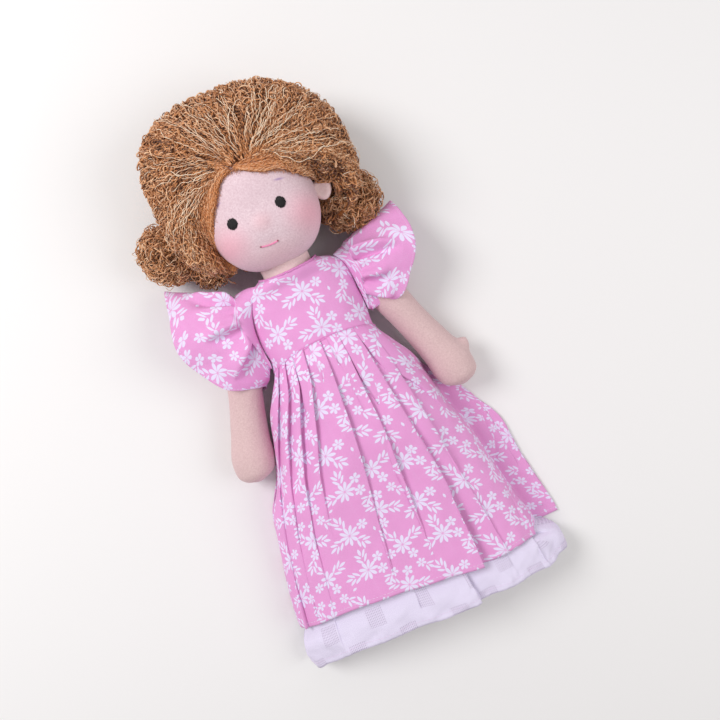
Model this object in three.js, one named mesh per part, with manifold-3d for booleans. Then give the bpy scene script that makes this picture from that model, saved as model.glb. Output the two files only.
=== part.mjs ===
// Cloth doll with a stuffed body, yarn hair, a dress and a petticoat, lying on its back.
// Millimetres. +X is the doll's own left, +Y runs from hip to head, +Z is up, the way the face looks.
// Places along Y are counted from the hip fold until the finished doll is centred at the end.
import * as THREE from "three";
import { mergeVertices } from "three/addons/utils/BufferGeometryUtils.js";
import Module from "manifold-3d";

const wasm = await Module();
wasm.setup();

// Walls and the air between pieces that touch.
const gap = 0.3;
const overrun = 5;
const skinWall = 1.2;
const clothWall = 0.9;
const flatCut = 0.5;

// Torso. The layers of the dress lie between its back and the ground.
const torsoLength = 120;
const torsoHalfWidth = 42;
const torsoHalfDepth = 23.5;
const layersUnderBack = 3.4;
const torsoZ = layersUnderBack + torsoHalfDepth;
const torsoSides = 20;
// Rows: height, half width, half depth, how far the centre has moved towards the neck, how much walls grow up.
const torsoShares = [
  [0, 0.95, 1, 0, 0],
  [0.2, 0.97, 1, 0, 0],
  [0.475, 0.95, 0.97, 0, 0],
  [0.65, 0.98, 1, 0, 0],
  [0.8, 1, 1, 0.02, 0],
  [0.9, 0.97, 0.93, 0.25, 0.3],
  [0.96, 0.78, 0.88, 0.75, 0.8],
  [1, 0.5, 0.83, 1, 0.7],
];
const seatAngles = [25, 50, 68, 80];
const seatTaperShare = 0.2;

// Neck: a tied roll of wool in a skin, on a round end that nods in the torso.
const neckRadius = 18.5;
const neckLength = 9;
const neckRise = 9;
const neckZ = torsoZ + neckRise;
const neckSides = 18;
const neckThreadDiameter = 1;
const neckThreadShare = 0.45;
const neckSocketGap = 0.9;

// Head: a wool ball in a skin, open where the neck enters.
const headHalfWidth = 41.5;
const headHalfHeight = 47;
const headHalfDepth = 38;
const hairUnderHead = 7.5;
const headRimShare = 0.957;
const headY = torsoLength + neckLength + headHalfHeight * headRimShare;
const headZ = hairUnderHead + headHalfDepth;
const headSides = 20;
const headRings = 11;
const headRingShift = 0.3;
const headPoleTilt = 0.01;

// Face. The head looks a little to the doll's right.
const faceShift = -4.5;
const eyeSpread = 34.5;
const eyeDrop = 13;
const eyeHalfWidth = 3.4;
const eyeHalfHeight = 4;
const eyeHalfDepth = 1.6;
const mouthDrop = 35;
const mouthWidth = 13;
const mouthSag = 1.2;
const mouthThread = 1;
const mouthSteps = 8;

// Ears.
const earHalfWidth = 7;
const earHalfHeight = 7.5;
const earHalfDepth = 3.6;
const earDrop = 12;
const earReachShare = 0.97;

// Wig cap and hair. The crown is open over the face, and bunches of curls lie beside the jaw.
const capWall = 1.4;
const hairHalfWidth = 76;
const hairHalfHeight = 66;
const hairHalfDepth = 42;
const hairRise = 15;
const hairHemDrop = 36;
const faceHoleHalfWidth = 40;
const faceHoleHalfHeight = 44;
const faceHoleDrop = 24;
const faceHoleShift = -2;
const faceHoleSides = 22;
const earHoleRadius = 9;
const bunchSides = 14;
// Places of the bunches: out from the head's side, up from its middle, above the ground.
const bunches = [
  { name: "hair_bunch_right", side: -1, out: 29.5, rise: -8, z: 24, halfWidth: 24, halfHeight: 21, halfDepth: 21 },
  { name: "hair_curl_right", side: -1, out: 6.5, rise: -27, z: 21, halfWidth: 14, halfHeight: 14, halfDepth: 14 },
  { name: "hair_bunch_left", side: 1, out: 19.5, rise: -26, z: 23, halfWidth: 24, halfHeight: 20, halfDepth: 20 },
];
const hairTieRadius = 8.5;
const hairTieThickness = 3;
const hairTieSides = 6;
const hairTies = [
  { name: "hair_tie_right", side: -1, out: 13.5, rise: -1, z: 26, turn: -35 },
  { name: "hair_tie_left", side: 1, out: 8.5, rise: -14, z: 26, turn: 40 },
];

// Arms, sewn into the armholes. Rows: out from the torso, down, half size, sink towards the ground.
const shoulderShare = 0.86;
const shoulderY = torsoLength * shoulderShare;
const shoulderZ = torsoZ + gap;
const armRoot = torsoHalfWidth + gap;
const armReach = 44;
const armLength = 118;
const armHalfWidth = 13.4;
const armHalfDepth = 13;
const armSinks = { left: 7.5, right: 10 };
const armSides = 12;
const armBendShare = 0.4;
const armShares = [
  [0, 0, 0.55, 0],
  [0.12, 0.02, 0.78, 0.05],
  [0.33, 0.15, 0.94, 0.3],
  [0.5, 0.33, 1, 0.6],
  [0.67, 0.52, 1, 0.85],
  [0.83, 0.7, 1.06, 1],
  [0.94, 0.84, 1.2, 1],
  [0.99, 0.93, 1.08, 1],
  [1, 0.985, 0.55, 1],
  [1, 1, 0, 1],
];
const thumbLength = 13;
const thumbHalfWidth = 7.4;
const thumbOutShare = 1.2;
const thumbDownShare = 0.77;

// Legs with feet, toes up. Rows: down the leg, rise of the centre, half size, turn of the section.
const legSpread = 20;
const legSplay = 4;
const legLength = 125;
const legHalfWidth = 15.2;
const legSides = 12;
const footLength = 39;
const seamGap = 0.5;
const legRootY = -torsoHalfDepth - seamGap;
const legFloor = 2 * clothWall + 4 * gap;
const legShares = [
  [0, 0, 0.33, 0],
  [0.04, 0, 0.62, 0],
  [0.12, 0.1, 0.86, 0],
  [0.3, 0.45, 1, 0],
  [0.55, 0.85, 0.98, 0],
  [0.78, 1, 0.9, 0],
  [0.88, 1, 0.9, 20],
];
// Rows of the foot: down the leg, up the foot, half width, half thickness, turn of the section.
const footShares = [
  [0.925, 0.5, 0.9, 0.9, 55],
  [0.935, 0.72, 0.92, 0.72, 85],
  [0.935, 0.9, 0.8, 0.55, 90],
  [0.935, 0.985, 0.45, 0.3, 90],
];

// Bodice of the dress.
const waistShare = 0.475;
const waistY = torsoLength * waistShare;
const waistArch = 8.6;
const waistArchPower = 1.5;
const pipingRadius = 1.2;
const bindingRadius = 1.1;
const tubeSides = 6;
const bodiceFromShare = 0.6;
const armholeRadius = 14.6;
const armholeDepth = 7;
const sideSeamRise = 2;
const buttonRadius = 4.5;
const buttonThickness = layersUnderBack - clothWall - 3 * gap;
const buttonInset = 5.2;
const buttonShares = [0.6, 0.8];
const buttonSides = 16;

// Flared sleeves, from the armhole ring to a wide bowed hem.
const sleeveRootHalfHeight = 16.5;
const sleeveRootHalfDepth = 20.5;
const sleeveSides = 20;
const sleeveShares = [0, 0.25, 0.5, 0.75, 1];
const sleeveRoundShare = 0.6;
const sleeveHalfDepth = 21.3;
const sleeveZ = sleeveHalfDepth + clothWall + gap;
const sleeves = [
  { name: "sleeve_left", side: 1, topOut: 48.7, topRise: 31, bottomOut: 1.7, bottomDrop: 42, bow: 20 },
  { name: "sleeve_right", side: -1, topOut: 43.7, topRise: 40, bottomOut: 5.7, bottomDrop: 60, bow: 23 },
];

// Skirt, sized by the layers at the waist, the belly and the toes. Rows: down the length, widening from
// waist to hem, how far the flat back layer reaches out and the dome draws in on the doll's left, height
// between toes and belly, edge height, folds.
const skirtLength = 180;
const skirtHalfWidth = 113;
const skirtWaistEase = 1.1;
const skirtFrontEase = 8.1;
const skirtToeEase = 8;
const skirtBrimOut = 14;
const skirtBrimIn = 14;
const skirtHemDip = 6;
const foldCount = 8;
const foldDepth = 2.6;
const foldFadePower = 0.5;
const foldSideShare = 0.5;
const skirtFrontSides = 42;
const skirtBackSides = 16;
const sectionShare = 0.82;
const brimAngleShare = 0.06;
const skirtShares = [
  [0, 0, 0, 0, 1, 0.5, 0.1],
  [0.06, 0.04, 0, 0, 1, 0.43, 0.2],
  [0.15, 0.195, 0, 0, 1, 0.3, 0.45],
  [0.27, 0.317, 0.4, 0.1, 1, 0.18, 0.7],
  [0.4, 0.447, 0.9, 0.3, 0.9, 0.12, 0.9],
  [0.53, 0.659, 0.9, 0.7, 0.45, 0.09, 1],
  [0.69, 0.788, 0.6, 0.9, 0.1, 0.07, 1],
  [0.85, 0.878, 0.35, 1, 0, 0.06, 1],
  [1, 0.951, 0.2, 1, 0.1, 0.06, 1],
];

// Petticoat, held by a band of elastic under the skirt, longer than the skirt.
const elasticHeight = 5;
const elasticThickness = 1;
const elasticDrop = 6;
const petticoatLength = 205;
const petticoatFlare = 8;
const petticoatFrontSides = 28;
const petticoatBackSides = 12;
const petticoatFoldDepth = 1.6;
const petticoatInset = 1.6;
const petticoatLift = clothWall + 2 * gap;
const petticoatShares = [0, 0.06, 0.14, 0.3, 0.5, 0.68, 0.86, 0.93, 1];

// Colours and finishes.
const finishes = {
  skin: [0xe8cfc8, 0.85],
  arms: [0xd9b9aa, 0.85],
  wool: [0xefe6d6, 0.95],
  hair: [0xa56e3c, 0.9],
  cap: [0x8a5a34, 0.95],
  dress: [0xdd86c0, 0.8],
  trim: [0xc873aa, 0.75],
  petticoat: [0xd9cde6, 0.8],
  elastic: [0xf2f0ee, 0.7],
  eyes: [0x141216, 0.55],
  mouth: [0xc0607c, 0.6],
  thread: [0xe9dccb, 0.7],
  button: [0xf0e4ee, 0.35],
};

const doll = new THREE.Group();

function place(name, geometry, finish) {
  const [color, roughness] = finishes[finish];
  const mesh = new THREE.Mesh(geometry, new THREE.MeshStandardMaterial({ color, roughness, metalness: 0 }));
  mesh.name = name;
  doll.add(mesh);
  return mesh;
}

const mix = (a, b, share) => a + (b - a) * share;
const radians = (degrees) => (degrees * Math.PI) / 180;

// Reads a table of shares between its rows. The first column is the place.
function between(rows, at) {
  const last = rows.length - 1;
  let i = 0;
  while (i < last - 1 && rows[i + 1][0] < at) i += 1;
  const share = Math.min(1, Math.max(0, (at - rows[i][0]) / (rows[i + 1][0] - rows[i][0])));
  return rows[i].map((value, column) => mix(value, rows[i + 1][column], share));
}

// Turns a closed triangle list the right way out.
function faceOut(geometry) {
  const p = geometry.getAttribute("position");
  const index = geometry.getIndex();
  const corner = (i) => new THREE.Vector3().fromBufferAttribute(p, index.getX(i));
  let volume = 0;
  for (let i = 0; i < index.count; i += 3) volume += corner(i).dot(corner(i + 1).cross(corner(i + 2)));
  if (volume < 0) {
    const order = Array.from(index.array);
    for (let i = 0; i < order.length; i += 3) [order[i], order[i + 1]] = [order[i + 1], order[i]];
    geometry.setIndex(order);
  }
  return geometry;
}

// Joins rings of equal count into one closed body: capped at both ends, or joined last to first.
function ringBody(rings, loop = false) {
  const count = rings[0].length;
  const points = rings.flat();
  const order = [];
  const at = (ring, k) => (ring % rings.length) * count + (k % count);
  for (let ring = 0; ring < rings.length - (loop ? 0 : 1); ring += 1) {
    for (let k = 0; k < count; k += 1) {
      order.push(at(ring, k), at(ring, k + 1), at(ring + 1, k + 1));
      order.push(at(ring, k), at(ring + 1, k + 1), at(ring + 1, k));
    }
  }
  const cap = (ring, flip) => {
    const middle = new THREE.Vector3();
    rings[ring].forEach((point) => middle.addScaledVector(point, 1 / count));
    points.push(middle);
    for (let k = 0; k < count; k += 1) {
      const [a, b] = flip ? [at(ring, k), at(ring, k + 1)] : [at(ring, k + 1), at(ring, k)];
      order.push(points.length - 1, a, b);
    }
  };
  if (!loop) {
    cap(0, false);
    cap(rings.length - 1, true);
  }
  const geometry = new THREE.BufferGeometry().setFromPoints(points);
  geometry.setIndex(order);
  return faceOut(geometry);
}

function toSolid(geometry) {
  const bare = geometry.clone();
  bare.deleteAttribute("normal");
  bare.deleteAttribute("uv");
  const merged = mergeVertices(bare);
  return new wasm.Manifold(
    new wasm.Mesh({
      numProp: 3,
      vertProperties: new Float32Array(merged.getAttribute("position").array),
      triVerts: new Uint32Array(merged.getIndex().array),
    }),
  );
}

function toGeometry(solid) {
  const mesh = solid.getMesh();
  const geometry = new THREE.BufferGeometry();
  geometry.setAttribute("position", new THREE.BufferAttribute(new Float32Array(mesh.vertProperties), 3));
  geometry.setIndex(new THREE.BufferAttribute(new Uint32Array(mesh.triVerts), 1));
  return geometry;
}

function ellipsoid(centre, half, sides) {
  const geometry = new THREE.SphereGeometry(1, sides, Math.round(sides / 2));
  geometry.scale(...half);
  geometry.translate(...centre);
  return toSolid(geometry);
}

function block(low, high) {
  const size = high.map((value, i) => value - low[i]);
  const geometry = new THREE.BoxGeometry(...size);
  geometry.translate(...high.map((value, i) => (value + low[i]) / 2));
  return toSolid(geometry);
}

function pillar(centre, halfX, halfY, from, to, sides) {
  const geometry = new THREE.CylinderGeometry(1, 1, to - from, sides);
  geometry.rotateX(Math.PI / 2);
  geometry.scale(halfX, halfY, 1);
  geometry.translate(centre[0], centre[1], (from + to) / 2);
  return toSolid(geometry);
}

// A closed tube round a loop of centre points that all lie around the Y direction.
function loopTube(centres, halfAcross, halfAlong, sides) {
  const middle = new THREE.Vector3();
  centres.forEach((point) => middle.addScaledVector(point, 1 / centres.length));
  const rings = centres.map((centre) => {
    const out = centre.clone().sub(middle).setY(0).normalize();
    return Array.from({ length: sides }, (_, k) => {
      const angle = ((k + 0.5) / sides) * 2 * Math.PI;
      const round = sides > 4 ? 1 : Math.SQRT2;
      const point = centre.clone().addScaledVector(out, round * halfAcross * Math.cos(angle));
      point.y += round * halfAlong * Math.sin(angle);
      return point;
    });
  });
  return ringBody(rings, true);
}

const everyAngle = (count) => Array.from({ length: count }, (_, k) => (k / count) * 2 * Math.PI);

// Torso: a point of its surface, or of a layer that has grown out from it.
function torsoPoint(y, angle, grow) {
  const [, width, depth, toNeck, up] = between(torsoShares, y / torsoLength);
  return new THREE.Vector3(
    (torsoHalfWidth * width + grow) * Math.cos(angle),
    y + grow * up,
    mix(torsoZ, neckZ, toNeck) + (torsoHalfDepth * depth + grow) * Math.sin(angle),
  );
}

// The seat is round about the hip fold, so folded legs pass it with the same clearance everywhere.
function torsoRings(grow) {
  const angles = everyAngle(torsoSides);
  const radius = torsoHalfDepth + grow;
  const seat = seatAngles.map((degrees) => {
    const turn = radians(degrees);
    const halfWidth = (torsoHalfWidth * torsoShares[0][1] + grow) * Math.cos(turn) ** seatTaperShare;
    return angles.map(
      (a) =>
        new THREE.Vector3(
          halfWidth * Math.cos(a),
          -radius * Math.sin(turn),
          torsoZ + radius * Math.cos(turn) * Math.sin(a),
        ),
    );
  });
  const trunk = torsoShares.map(([height]) => angles.map((a) => torsoPoint(height * torsoLength, a, grow)));
  return [...seat.reverse(), ...trunk];
}

function raised(ring, rise) {
  return ring.map((point) => point.clone().setY(point.y + rise));
}

// A stack of rings made longer at its ends, to cut an opening there.
function longer(rings, below, above) {
  const top = above ? [raised(rings[rings.length - 1], above)] : [];
  const bottom = below ? [raised(rings[0], -below)] : [];
  return [...bottom, ...rings, ...top];
}

const neckBall = (radius) => ellipsoid([0, torsoLength, neckZ], [radius, radius, radius], neckSides);
const neckCoreRadius = neckRadius - skinWall - neckThreadDiameter - 2 * gap;
{
  const hollow = toSolid(ringBody(longer(torsoRings(-skinWall), 0, overrun)));
  const skin = toSolid(ringBody(torsoRings(0))).subtract(hollow).subtract(neckBall(neckRadius));
  place("torso_skin", toGeometry(skin), "skin");
  const socket = neckBall(neckCoreRadius + neckSocketGap);
  const filling = toSolid(ringBody(torsoRings(-skinWall - gap))).subtract(socket);
  place("torso_stuffing", toGeometry(filling), "wool");
}

// Head solids at a given growth share their rings, so grown copies never cut each other.
const neckSeatY = torsoLength + neckLength;
const headTilts = Array.from({ length: headRings }, (_, i) =>
  mix(-Math.asin(headRimShare), Math.PI / 2, (i + (i === 0 ? 0 : headRingShift)) / headRings),
);
function headRing(grow, tilt) {
  return everyAngle(headSides).map(
    (a) =>
      new THREE.Vector3(
        (headHalfWidth + grow) * Math.cos(tilt) * Math.cos(a),
        headY + (headHalfHeight + grow) * Math.sin(tilt),
        headZ + (headHalfDepth + grow) * Math.cos(tilt) * Math.sin(a),
      ),
  );
}
const headBody = (grow) => toSolid(ringBody(headTilts.map((tilt) => headRing(grow, tilt))));
const fullHead = (grow) =>
  toSolid(ringBody([headPoleTilt - Math.PI / 2, ...headTilts].map((tilt) => headRing(grow, tilt))));

function headSurfaceZ(x, y) {
  const flat = (x / headHalfWidth) ** 2 + ((y - headY) / headHalfHeight) ** 2;
  return headZ + headHalfDepth * Math.sqrt(1 - flat);
}

{
  const hollow = longer(headTilts.map((tilt) => headRing(-skinWall, tilt)), overrun, 0);
  place("head_skin", toGeometry(headBody(0).subtract(toSolid(ringBody(hollow)))), "skin");
  place("head_core", toGeometry(headBody(-skinWall - gap)), "wool");
}

// Neck pieces.
function column(radius, from, to) {
  const geometry = new THREE.CylinderGeometry(radius, radius, to - from, neckSides);
  geometry.translate(0, (from + to) / 2, neckZ);
  return toSolid(geometry);
}
{
  const above = column(2 * neckRadius, torsoLength + gap, 2 * torsoLength);
  const root = neckBall(neckCoreRadius).subtract(above);
  const core = column(neckCoreRadius, torsoLength, neckSeatY - gap).add(root);
  place("neck_core", toGeometry(core), "wool");
  const top = headY;
  const skin = column(neckRadius, torsoLength + gap, top)
    .subtract(column(neckRadius - skinWall, torsoLength - overrun, top + overrun))
    .subtract(fullHead(2 * gap));
  place("neck_skin", toGeometry(skin), "skin");
  const ring = everyAngle(neckSides).map((a) => {
    const radius = neckCoreRadius + gap + neckThreadDiameter / 2;
    const y = torsoLength + neckLength * neckThreadShare;
    return new THREE.Vector3(radius * Math.cos(a), y, neckZ + radius * Math.sin(a));
  });
  place("neck_thread", loopTube(ring, neckThreadDiameter / 2, neckThreadDiameter / 2, tubeSides), "thread");
}

// Embroidered eyes and mouth, lying on the skin.
for (const side of [-1, 1]) {
  const x = faceShift + (side * eyeSpread) / 2;
  const y = headY - eyeDrop;
  const pad = ellipsoid([x, y, headSurfaceZ(x, y)], [eyeHalfWidth, eyeHalfHeight, eyeHalfDepth], bunchSides);
  place(side > 0 ? "eye_left" : "eye_right", toGeometry(pad.subtract(fullHead(gap))), "eyes");
}
{
  const points = Array.from({ length: mouthSteps + 1 }, (_, i) => {
    const share = (2 * i) / mouthSteps - 1;
    const x = faceShift + (share * mouthWidth) / 2;
    const y = headY - mouthDrop + mouthSag * share * share;
    return new THREE.Vector3(x, y, headSurfaceZ(x, y) + 2 * gap + mouthThread / 2);
  });
  const radius = mouthThread / 2;
  const section = new THREE.Shape(
    everyAngle(tubeSides).map((a) => new THREE.Vector2(radius * Math.cos(a), radius * Math.sin(a))),
  );
  const options = {
    steps: 2 * mouthSteps,
    extrudePath: new THREE.CatmullRomCurve3(points),
    bevelEnabled: false,
  };
  place("mouth_thread", toGeometry(toSolid(new THREE.ExtrudeGeometry(section, options))), "mouth");
}

// Ears.
const earAt = (side, grow) =>
  ellipsoid(
    [side * headHalfWidth * earReachShare, headY - earDrop, headZ],
    [earHalfWidth + grow, earHalfHeight + grow, earHalfDepth + grow],
    bunchSides,
  );
place("ear_left", toGeometry(earAt(1, 0).subtract(fullHead(gap))), "skin");
place("ear_right", toGeometry(earAt(-1, 0).subtract(fullHead(gap))), "skin");

// Hair: cap, crown, bunches and ties.
const faceHole = (grow) =>
  pillar(
    [faceHoleShift, headY - faceHoleDrop],
    faceHoleHalfWidth + grow,
    faceHoleHalfHeight + grow,
    headZ - earHalfDepth,
    headZ + 2 * hairHalfDepth,
    faceHoleSides,
  );
const belowHair = block(
  [-2 * hairHalfWidth, torsoLength - hairHalfHeight, -hairHalfDepth],
  [2 * hairHalfWidth, headY - hairHemDrop, headZ + 2 * hairHalfDepth],
);
function bunchBody({ side, out, rise, z, halfWidth, halfHeight, halfDepth }, grow) {
  const half = [halfWidth + grow, halfHeight + grow, halfDepth + grow];
  return ellipsoid([side * (headHalfWidth + out), headY + rise, z], half, bunchSides);
}
function tieBody({ side, out, rise, z, turn }, grow) {
  const thick = hairTieThickness / 2 + grow;
  const geometry = new THREE.TorusGeometry(hairTieRadius, thick, hairTieSides, bunchSides);
  geometry.rotateY(Math.PI / 2);
  geometry.rotateZ(radians(turn));
  geometry.translate(side * (headHalfWidth + out), headY + rise, z);
  return toSolid(geometry);
}
{
  const capOuter = gap + capWall;
  const cap = fullHead(capOuter)
    .subtract(fullHead(gap))
    .subtract(faceHole(0))
    .subtract(belowHair)
    .subtract(earAt(1, gap))
    .subtract(earAt(-1, gap))
    .subtract(column(neckRadius + gap, torsoLength, headY));
  place("wig_cap", toGeometry(cap), "cap");

  const ground = block(
    [-2 * hairHalfWidth, headY - 2 * hairHalfHeight, -2 * hairHalfDepth],
    [2 * hairHalfWidth, headY + 2 * hairHalfHeight, 0],
  );
  const earHole = pillar(
    [headHalfWidth + earHalfWidth / 2, headY - earDrop],
    earHoleRadius,
    earHoleRadius,
    headZ - 2 * earHalfDepth,
    headZ + 2 * hairHalfDepth,
    bunchSides,
  );
  const crownHalf = [hairHalfWidth, hairHalfHeight, hairHalfDepth];
  let crown = ellipsoid([0, headY + hairRise, hairHalfDepth - flatCut], crownHalf, 2 * bunchSides)
    .subtract(fullHead(capOuter + gap))
    .subtract(faceHole(gap))
    .subtract(belowHair)
    .subtract(earHole)
    .subtract(earAt(1, gap))
    .subtract(earAt(-1, gap))
    .subtract(column(neckRadius + gap, torsoLength, headY))
    .subtract(ground);
  for (const bunch of bunches) crown = crown.subtract(bunchBody(bunch, gap));
  for (const tie of hairTies) crown = crown.subtract(tieBody(tie, gap));
  place("hair_crown", toGeometry(crown), "hair");

  const settled = [];
  for (const bunch of bunches) {
    let curls = bunchBody(bunch, 0)
      .subtract(fullHead(capOuter + gap))
      .subtract(column(neckRadius + gap, torsoLength, headY))
      .subtract(ground);
    for (const tie of hairTies) curls = curls.subtract(tieBody(tie, gap));
    for (const other of settled) curls = curls.subtract(bunchBody(other, gap));
    settled.push(bunch);
    place(bunch.name, toGeometry(curls), "hair");
  }
  for (const tie of hairTies) place(tie.name, toGeometry(tieBody(tie, 0)), "elastic");
}

// Arms: skin over wool, open at the shoulder seam.
function armBody(side, grow, open) {
  const rows = armShares;
  const armSink = side > 0 ? armSinks.left : armSinks.right;
  const path = rows.map(
    ([out, down, , sink]) =>
      new THREE.Vector3(armRoot + out * armReach, shoulderY - down * armLength, shoulderZ - sink * armSink),
  );
  const rings = rows.slice(0, -1).map(([, , size], i) => {
    const along = path[i + 1].clone().sub(path[Math.max(0, i - 1)]);
    along.setZ(0).normalize();
    along.lerp(new THREE.Vector3(1, 0, 0), Math.max(0, 1 - i * armBendShare)).normalize();
    const across = new THREE.Vector3(-along.y, along.x, 0);
    const tip = i === rows.length - 2 ? grow : 0;
    return everyAngle(armSides).map((a) => {
      const point = path[i].clone().addScaledVector(along, tip);
      point.addScaledVector(across, (armHalfWidth * size + grow) * Math.cos(a));
      point.z += (armHalfDepth * size + grow) * Math.sin(a);
      return point;
    });
  });
  if (open) rings.unshift(rings[0].map((point) => point.clone().setX(point.x - overrun)));
  rings.forEach((ring) => ring.forEach((point) => point.setX(side * point.x)));
  let body = toSolid(ringBody(rings));
  if (side > 0) {
    const centre = [
      armRoot + armReach * thumbOutShare,
      shoulderY - armLength * thumbDownShare,
      shoulderZ - armSink,
    ];
    const half = [thumbLength + grow, thumbHalfWidth + grow, thumbHalfWidth + grow];
    body = body.add(ellipsoid(centre, half, armSides));
  }
  return body;
}
for (const [name, side] of [["left", 1], ["right", -1]]) {
  const skin = armBody(side, 0, false).subtract(armBody(side, -skinWall, true));
  place(`arm_${name}_skin`, toGeometry(skin), "arms");
  place(`arm_${name}_stuffing`, toGeometry(armBody(side, -skinWall - gap, false)), "wool");
}

// Legs: skin over wool, open at the hip seam, with the foot turned up.
function legBody(side, grow, open) {
  const centreZ = (rise, half) => mix(torsoZ, legFloor + half, rise);
  const half = (share) => legHalfWidth * share;
  const section = (x, y, z, across, thick, turn) =>
    everyAngle(legSides).map((a) => {
      const lean = radians(turn);
      const lift = (thick + grow) * Math.sin(a);
      return new THREE.Vector3(
        side * (x + (across + grow) * Math.cos(a)),
        y + lift * Math.sin(lean),
        z + lift * Math.cos(lean),
      );
    });
  const xAt = (down) => legSpread + legSplay * down;
  const yAt = (down) => legRootY - legLength * down;
  const rings = legShares.map(([down, rise, size, turn]) =>
    section(xAt(down), yAt(down), centreZ(rise, half(size)), half(size), half(size), turn),
  );
  footShares.forEach(([down, up, across, thick, turn], i) => {
    const tip = i === footShares.length - 1 ? grow : 0;
    const z = legFloor + footLength * up + tip;
    rings.push(section(xAt(down), yAt(down), z, half(across), half(thick), turn));
  });
  if (open) rings.unshift(raised(rings[0], overrun));
  return toSolid(ringBody(rings));
}
for (const [name, side] of [["left", 1], ["right", -1]]) {
  const skin = legBody(side, 0, false).subtract(legBody(side, -skinWall, true));
  place(`leg_${name}_skin`, toGeometry(skin), "skin");
  place(`leg_${name}_stuffing`, toGeometry(legBody(side, -skinWall - gap, false)), "wool");
}

// The waist seam rises over the belly.
const waistAt = (angle) => waistY + waistArch * Math.max(0, Math.sin(angle)) ** waistArchPower;
{
  const angles = everyAngle(torsoSides);
  const heights = torsoShares.map(([height]) => height).filter((height) => height > bodiceFromShare);
  const layer = (grow) => [
    angles.map((a) => torsoPoint(waistAt(a) + pipingRadius + gap, a, grow)),
    ...heights.map((height) => angles.map((a) => torsoPoint(height * torsoLength, a, grow))),
  ];
  const hollow = toSolid(ringBody(longer(layer(gap), overrun, overrun)));
  const shell = toSolid(ringBody(layer(gap + clothWall))).subtract(hollow);
  const armholes = [-1, 1].map((side) => {
    const geometry = new THREE.CylinderGeometry(armholeRadius, armholeRadius, 2 * armholeDepth, torsoSides);
    geometry.rotateZ(Math.PI / 2);
    geometry.translate(side * (torsoHalfWidth + gap), shoulderY, shoulderZ);
    return toSolid(geometry);
  });
  const seamZ = torsoZ + sideSeamRise;
  const far = 2 * torsoLength;
  const front = block([-far, -far, seamZ + gap / 2], [far, far, far]);
  const backLeft = block([gap / 2, -far, -far], [far, far, seamZ - gap / 2]);
  const backRight = block([-far, -far, -far], [-gap / 2, far, seamZ - gap / 2]);
  const body = shell.subtract(armholes[0]).subtract(armholes[1]);
  place("bodice_front", toGeometry(body.intersect(front)), "dress");
  place("bodice_back_left", toGeometry(body.intersect(backLeft)), "dress");
  place("bodice_back_right", toGeometry(body.intersect(backRight)), "dress");

  const piping = angles.map((a) => torsoPoint(waistAt(a), a, gap + pipingRadius));
  place("waist_piping", loopTube(piping, pipingRadius, pipingRadius, tubeSides), "trim");
  const neckline = angles.map((a) => {
    const point = torsoPoint(torsoLength, a, gap + clothWall / 2);
    point.y += clothWall + bindingRadius + gap;
    return point;
  });
  place("neckline_binding", loopTube(neckline, bindingRadius, bindingRadius, tubeSides), "trim");

  buttonShares.forEach((share, i) => {
    const rim = buttonThickness / 3;
    const profile = [
      [0, 0],
      [buttonRadius - rim, 0],
      [buttonRadius, rim],
      [buttonRadius, buttonThickness - rim],
      [buttonRadius - rim, buttonThickness],
      [0, buttonThickness],
    ].map(([r, z]) => new THREE.Vector2(r, z));
    const geometry = new THREE.LatheGeometry(profile, buttonSides);
    geometry.rotateX(Math.PI / 2);
    geometry.translate(-buttonInset, torsoLength * share, 0);
    const solid = toGeometry(toSolid(geometry));
    place(i === 0 ? "button_lower" : "button_upper", solid, "button");
  });
}

// Sleeves: shells from a round root to a long bowed hem that the arm leaves at its lower end.
for (const { name, side, topOut, topRise, bottomOut, bottomDrop, bow } of sleeves) {
  const point = (share, angle, grow) => {
    const c = Math.cos(angle);
    const s = Math.sin(angle);
    const flat = Math.sign(s) * Math.abs(s) ** sleeveRoundShare;
    const root = [
      armRoot + clothWall + gap,
      shoulderY + (sleeveRootHalfHeight + grow) * c,
      shoulderZ + (sleeveRootHalfDepth + grow) * s,
    ];
    const up = (1 + c) / 2;
    const hem = [
      armRoot + mix(bottomOut, topOut, up) + bow * flat ** 2,
      shoulderY + mix(-bottomDrop, topRise, up) + grow * c,
      sleeveZ + (sleeveHalfDepth + grow) * flat,
    ];
    return new THREE.Vector3(...root.map((value, i) => mix(value, hem[i], share))).multiply(
      new THREE.Vector3(side, 1, 1),
    );
  };
  const ring = (share, grow) => everyAngle(sleeveSides).map((a) => point(share, a, grow));
  const layer = (grow) => sleeveShares.map((share) => ring(share, grow));
  place(name, ringBody([...layer(clothWall), ...layer(0).reverse()], true), "dress");
}

// Skirt and petticoat sections share one outline: a domed front over a flat back.
const waistLayers = elasticThickness + clothWall + 2 * gap;
const skirtWaistHalfWidth = torsoPoint(waistY, 0, waistLayers + skirtWaistEase).x;
const skirtFrontHeight = torsoZ + torsoHalfDepth + skirtFrontEase;
const skirtToeHeight = legFloor + footLength + skirtToeEase;
function skirtAt(y) {
  const [, width, brimOut, brimIn, height, edge, fold] = between(skirtShares, (waistY - y) / skirtLength);
  const high = mix(skirtToeHeight, skirtFrontHeight, height);
  return {
    halfWidth: mix(skirtWaistHalfWidth, skirtHalfWidth, width),
    brimOut: skirtBrimOut * brimOut,
    brimIn: skirtBrimIn * brimIn,
    brimmed: Math.min(1, 2 * (brimOut + brimIn)),
    height: high,
    edge: high * edge,
    fold,
  };
}
function domePoint(angle, halfWidth, height, edge, floor) {
  const c = Math.cos(angle);
  const s = Math.sin(angle);
  const x = halfWidth * Math.sign(c) * Math.abs(c) ** sectionShare;
  const up = (height - edge) * Math.abs(s) ** sectionShare;
  const down = (edge - floor) * Math.abs(s) ** (sectionShare / 2);
  return [x, s >= 0 ? edge + up : edge - down];
}
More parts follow.
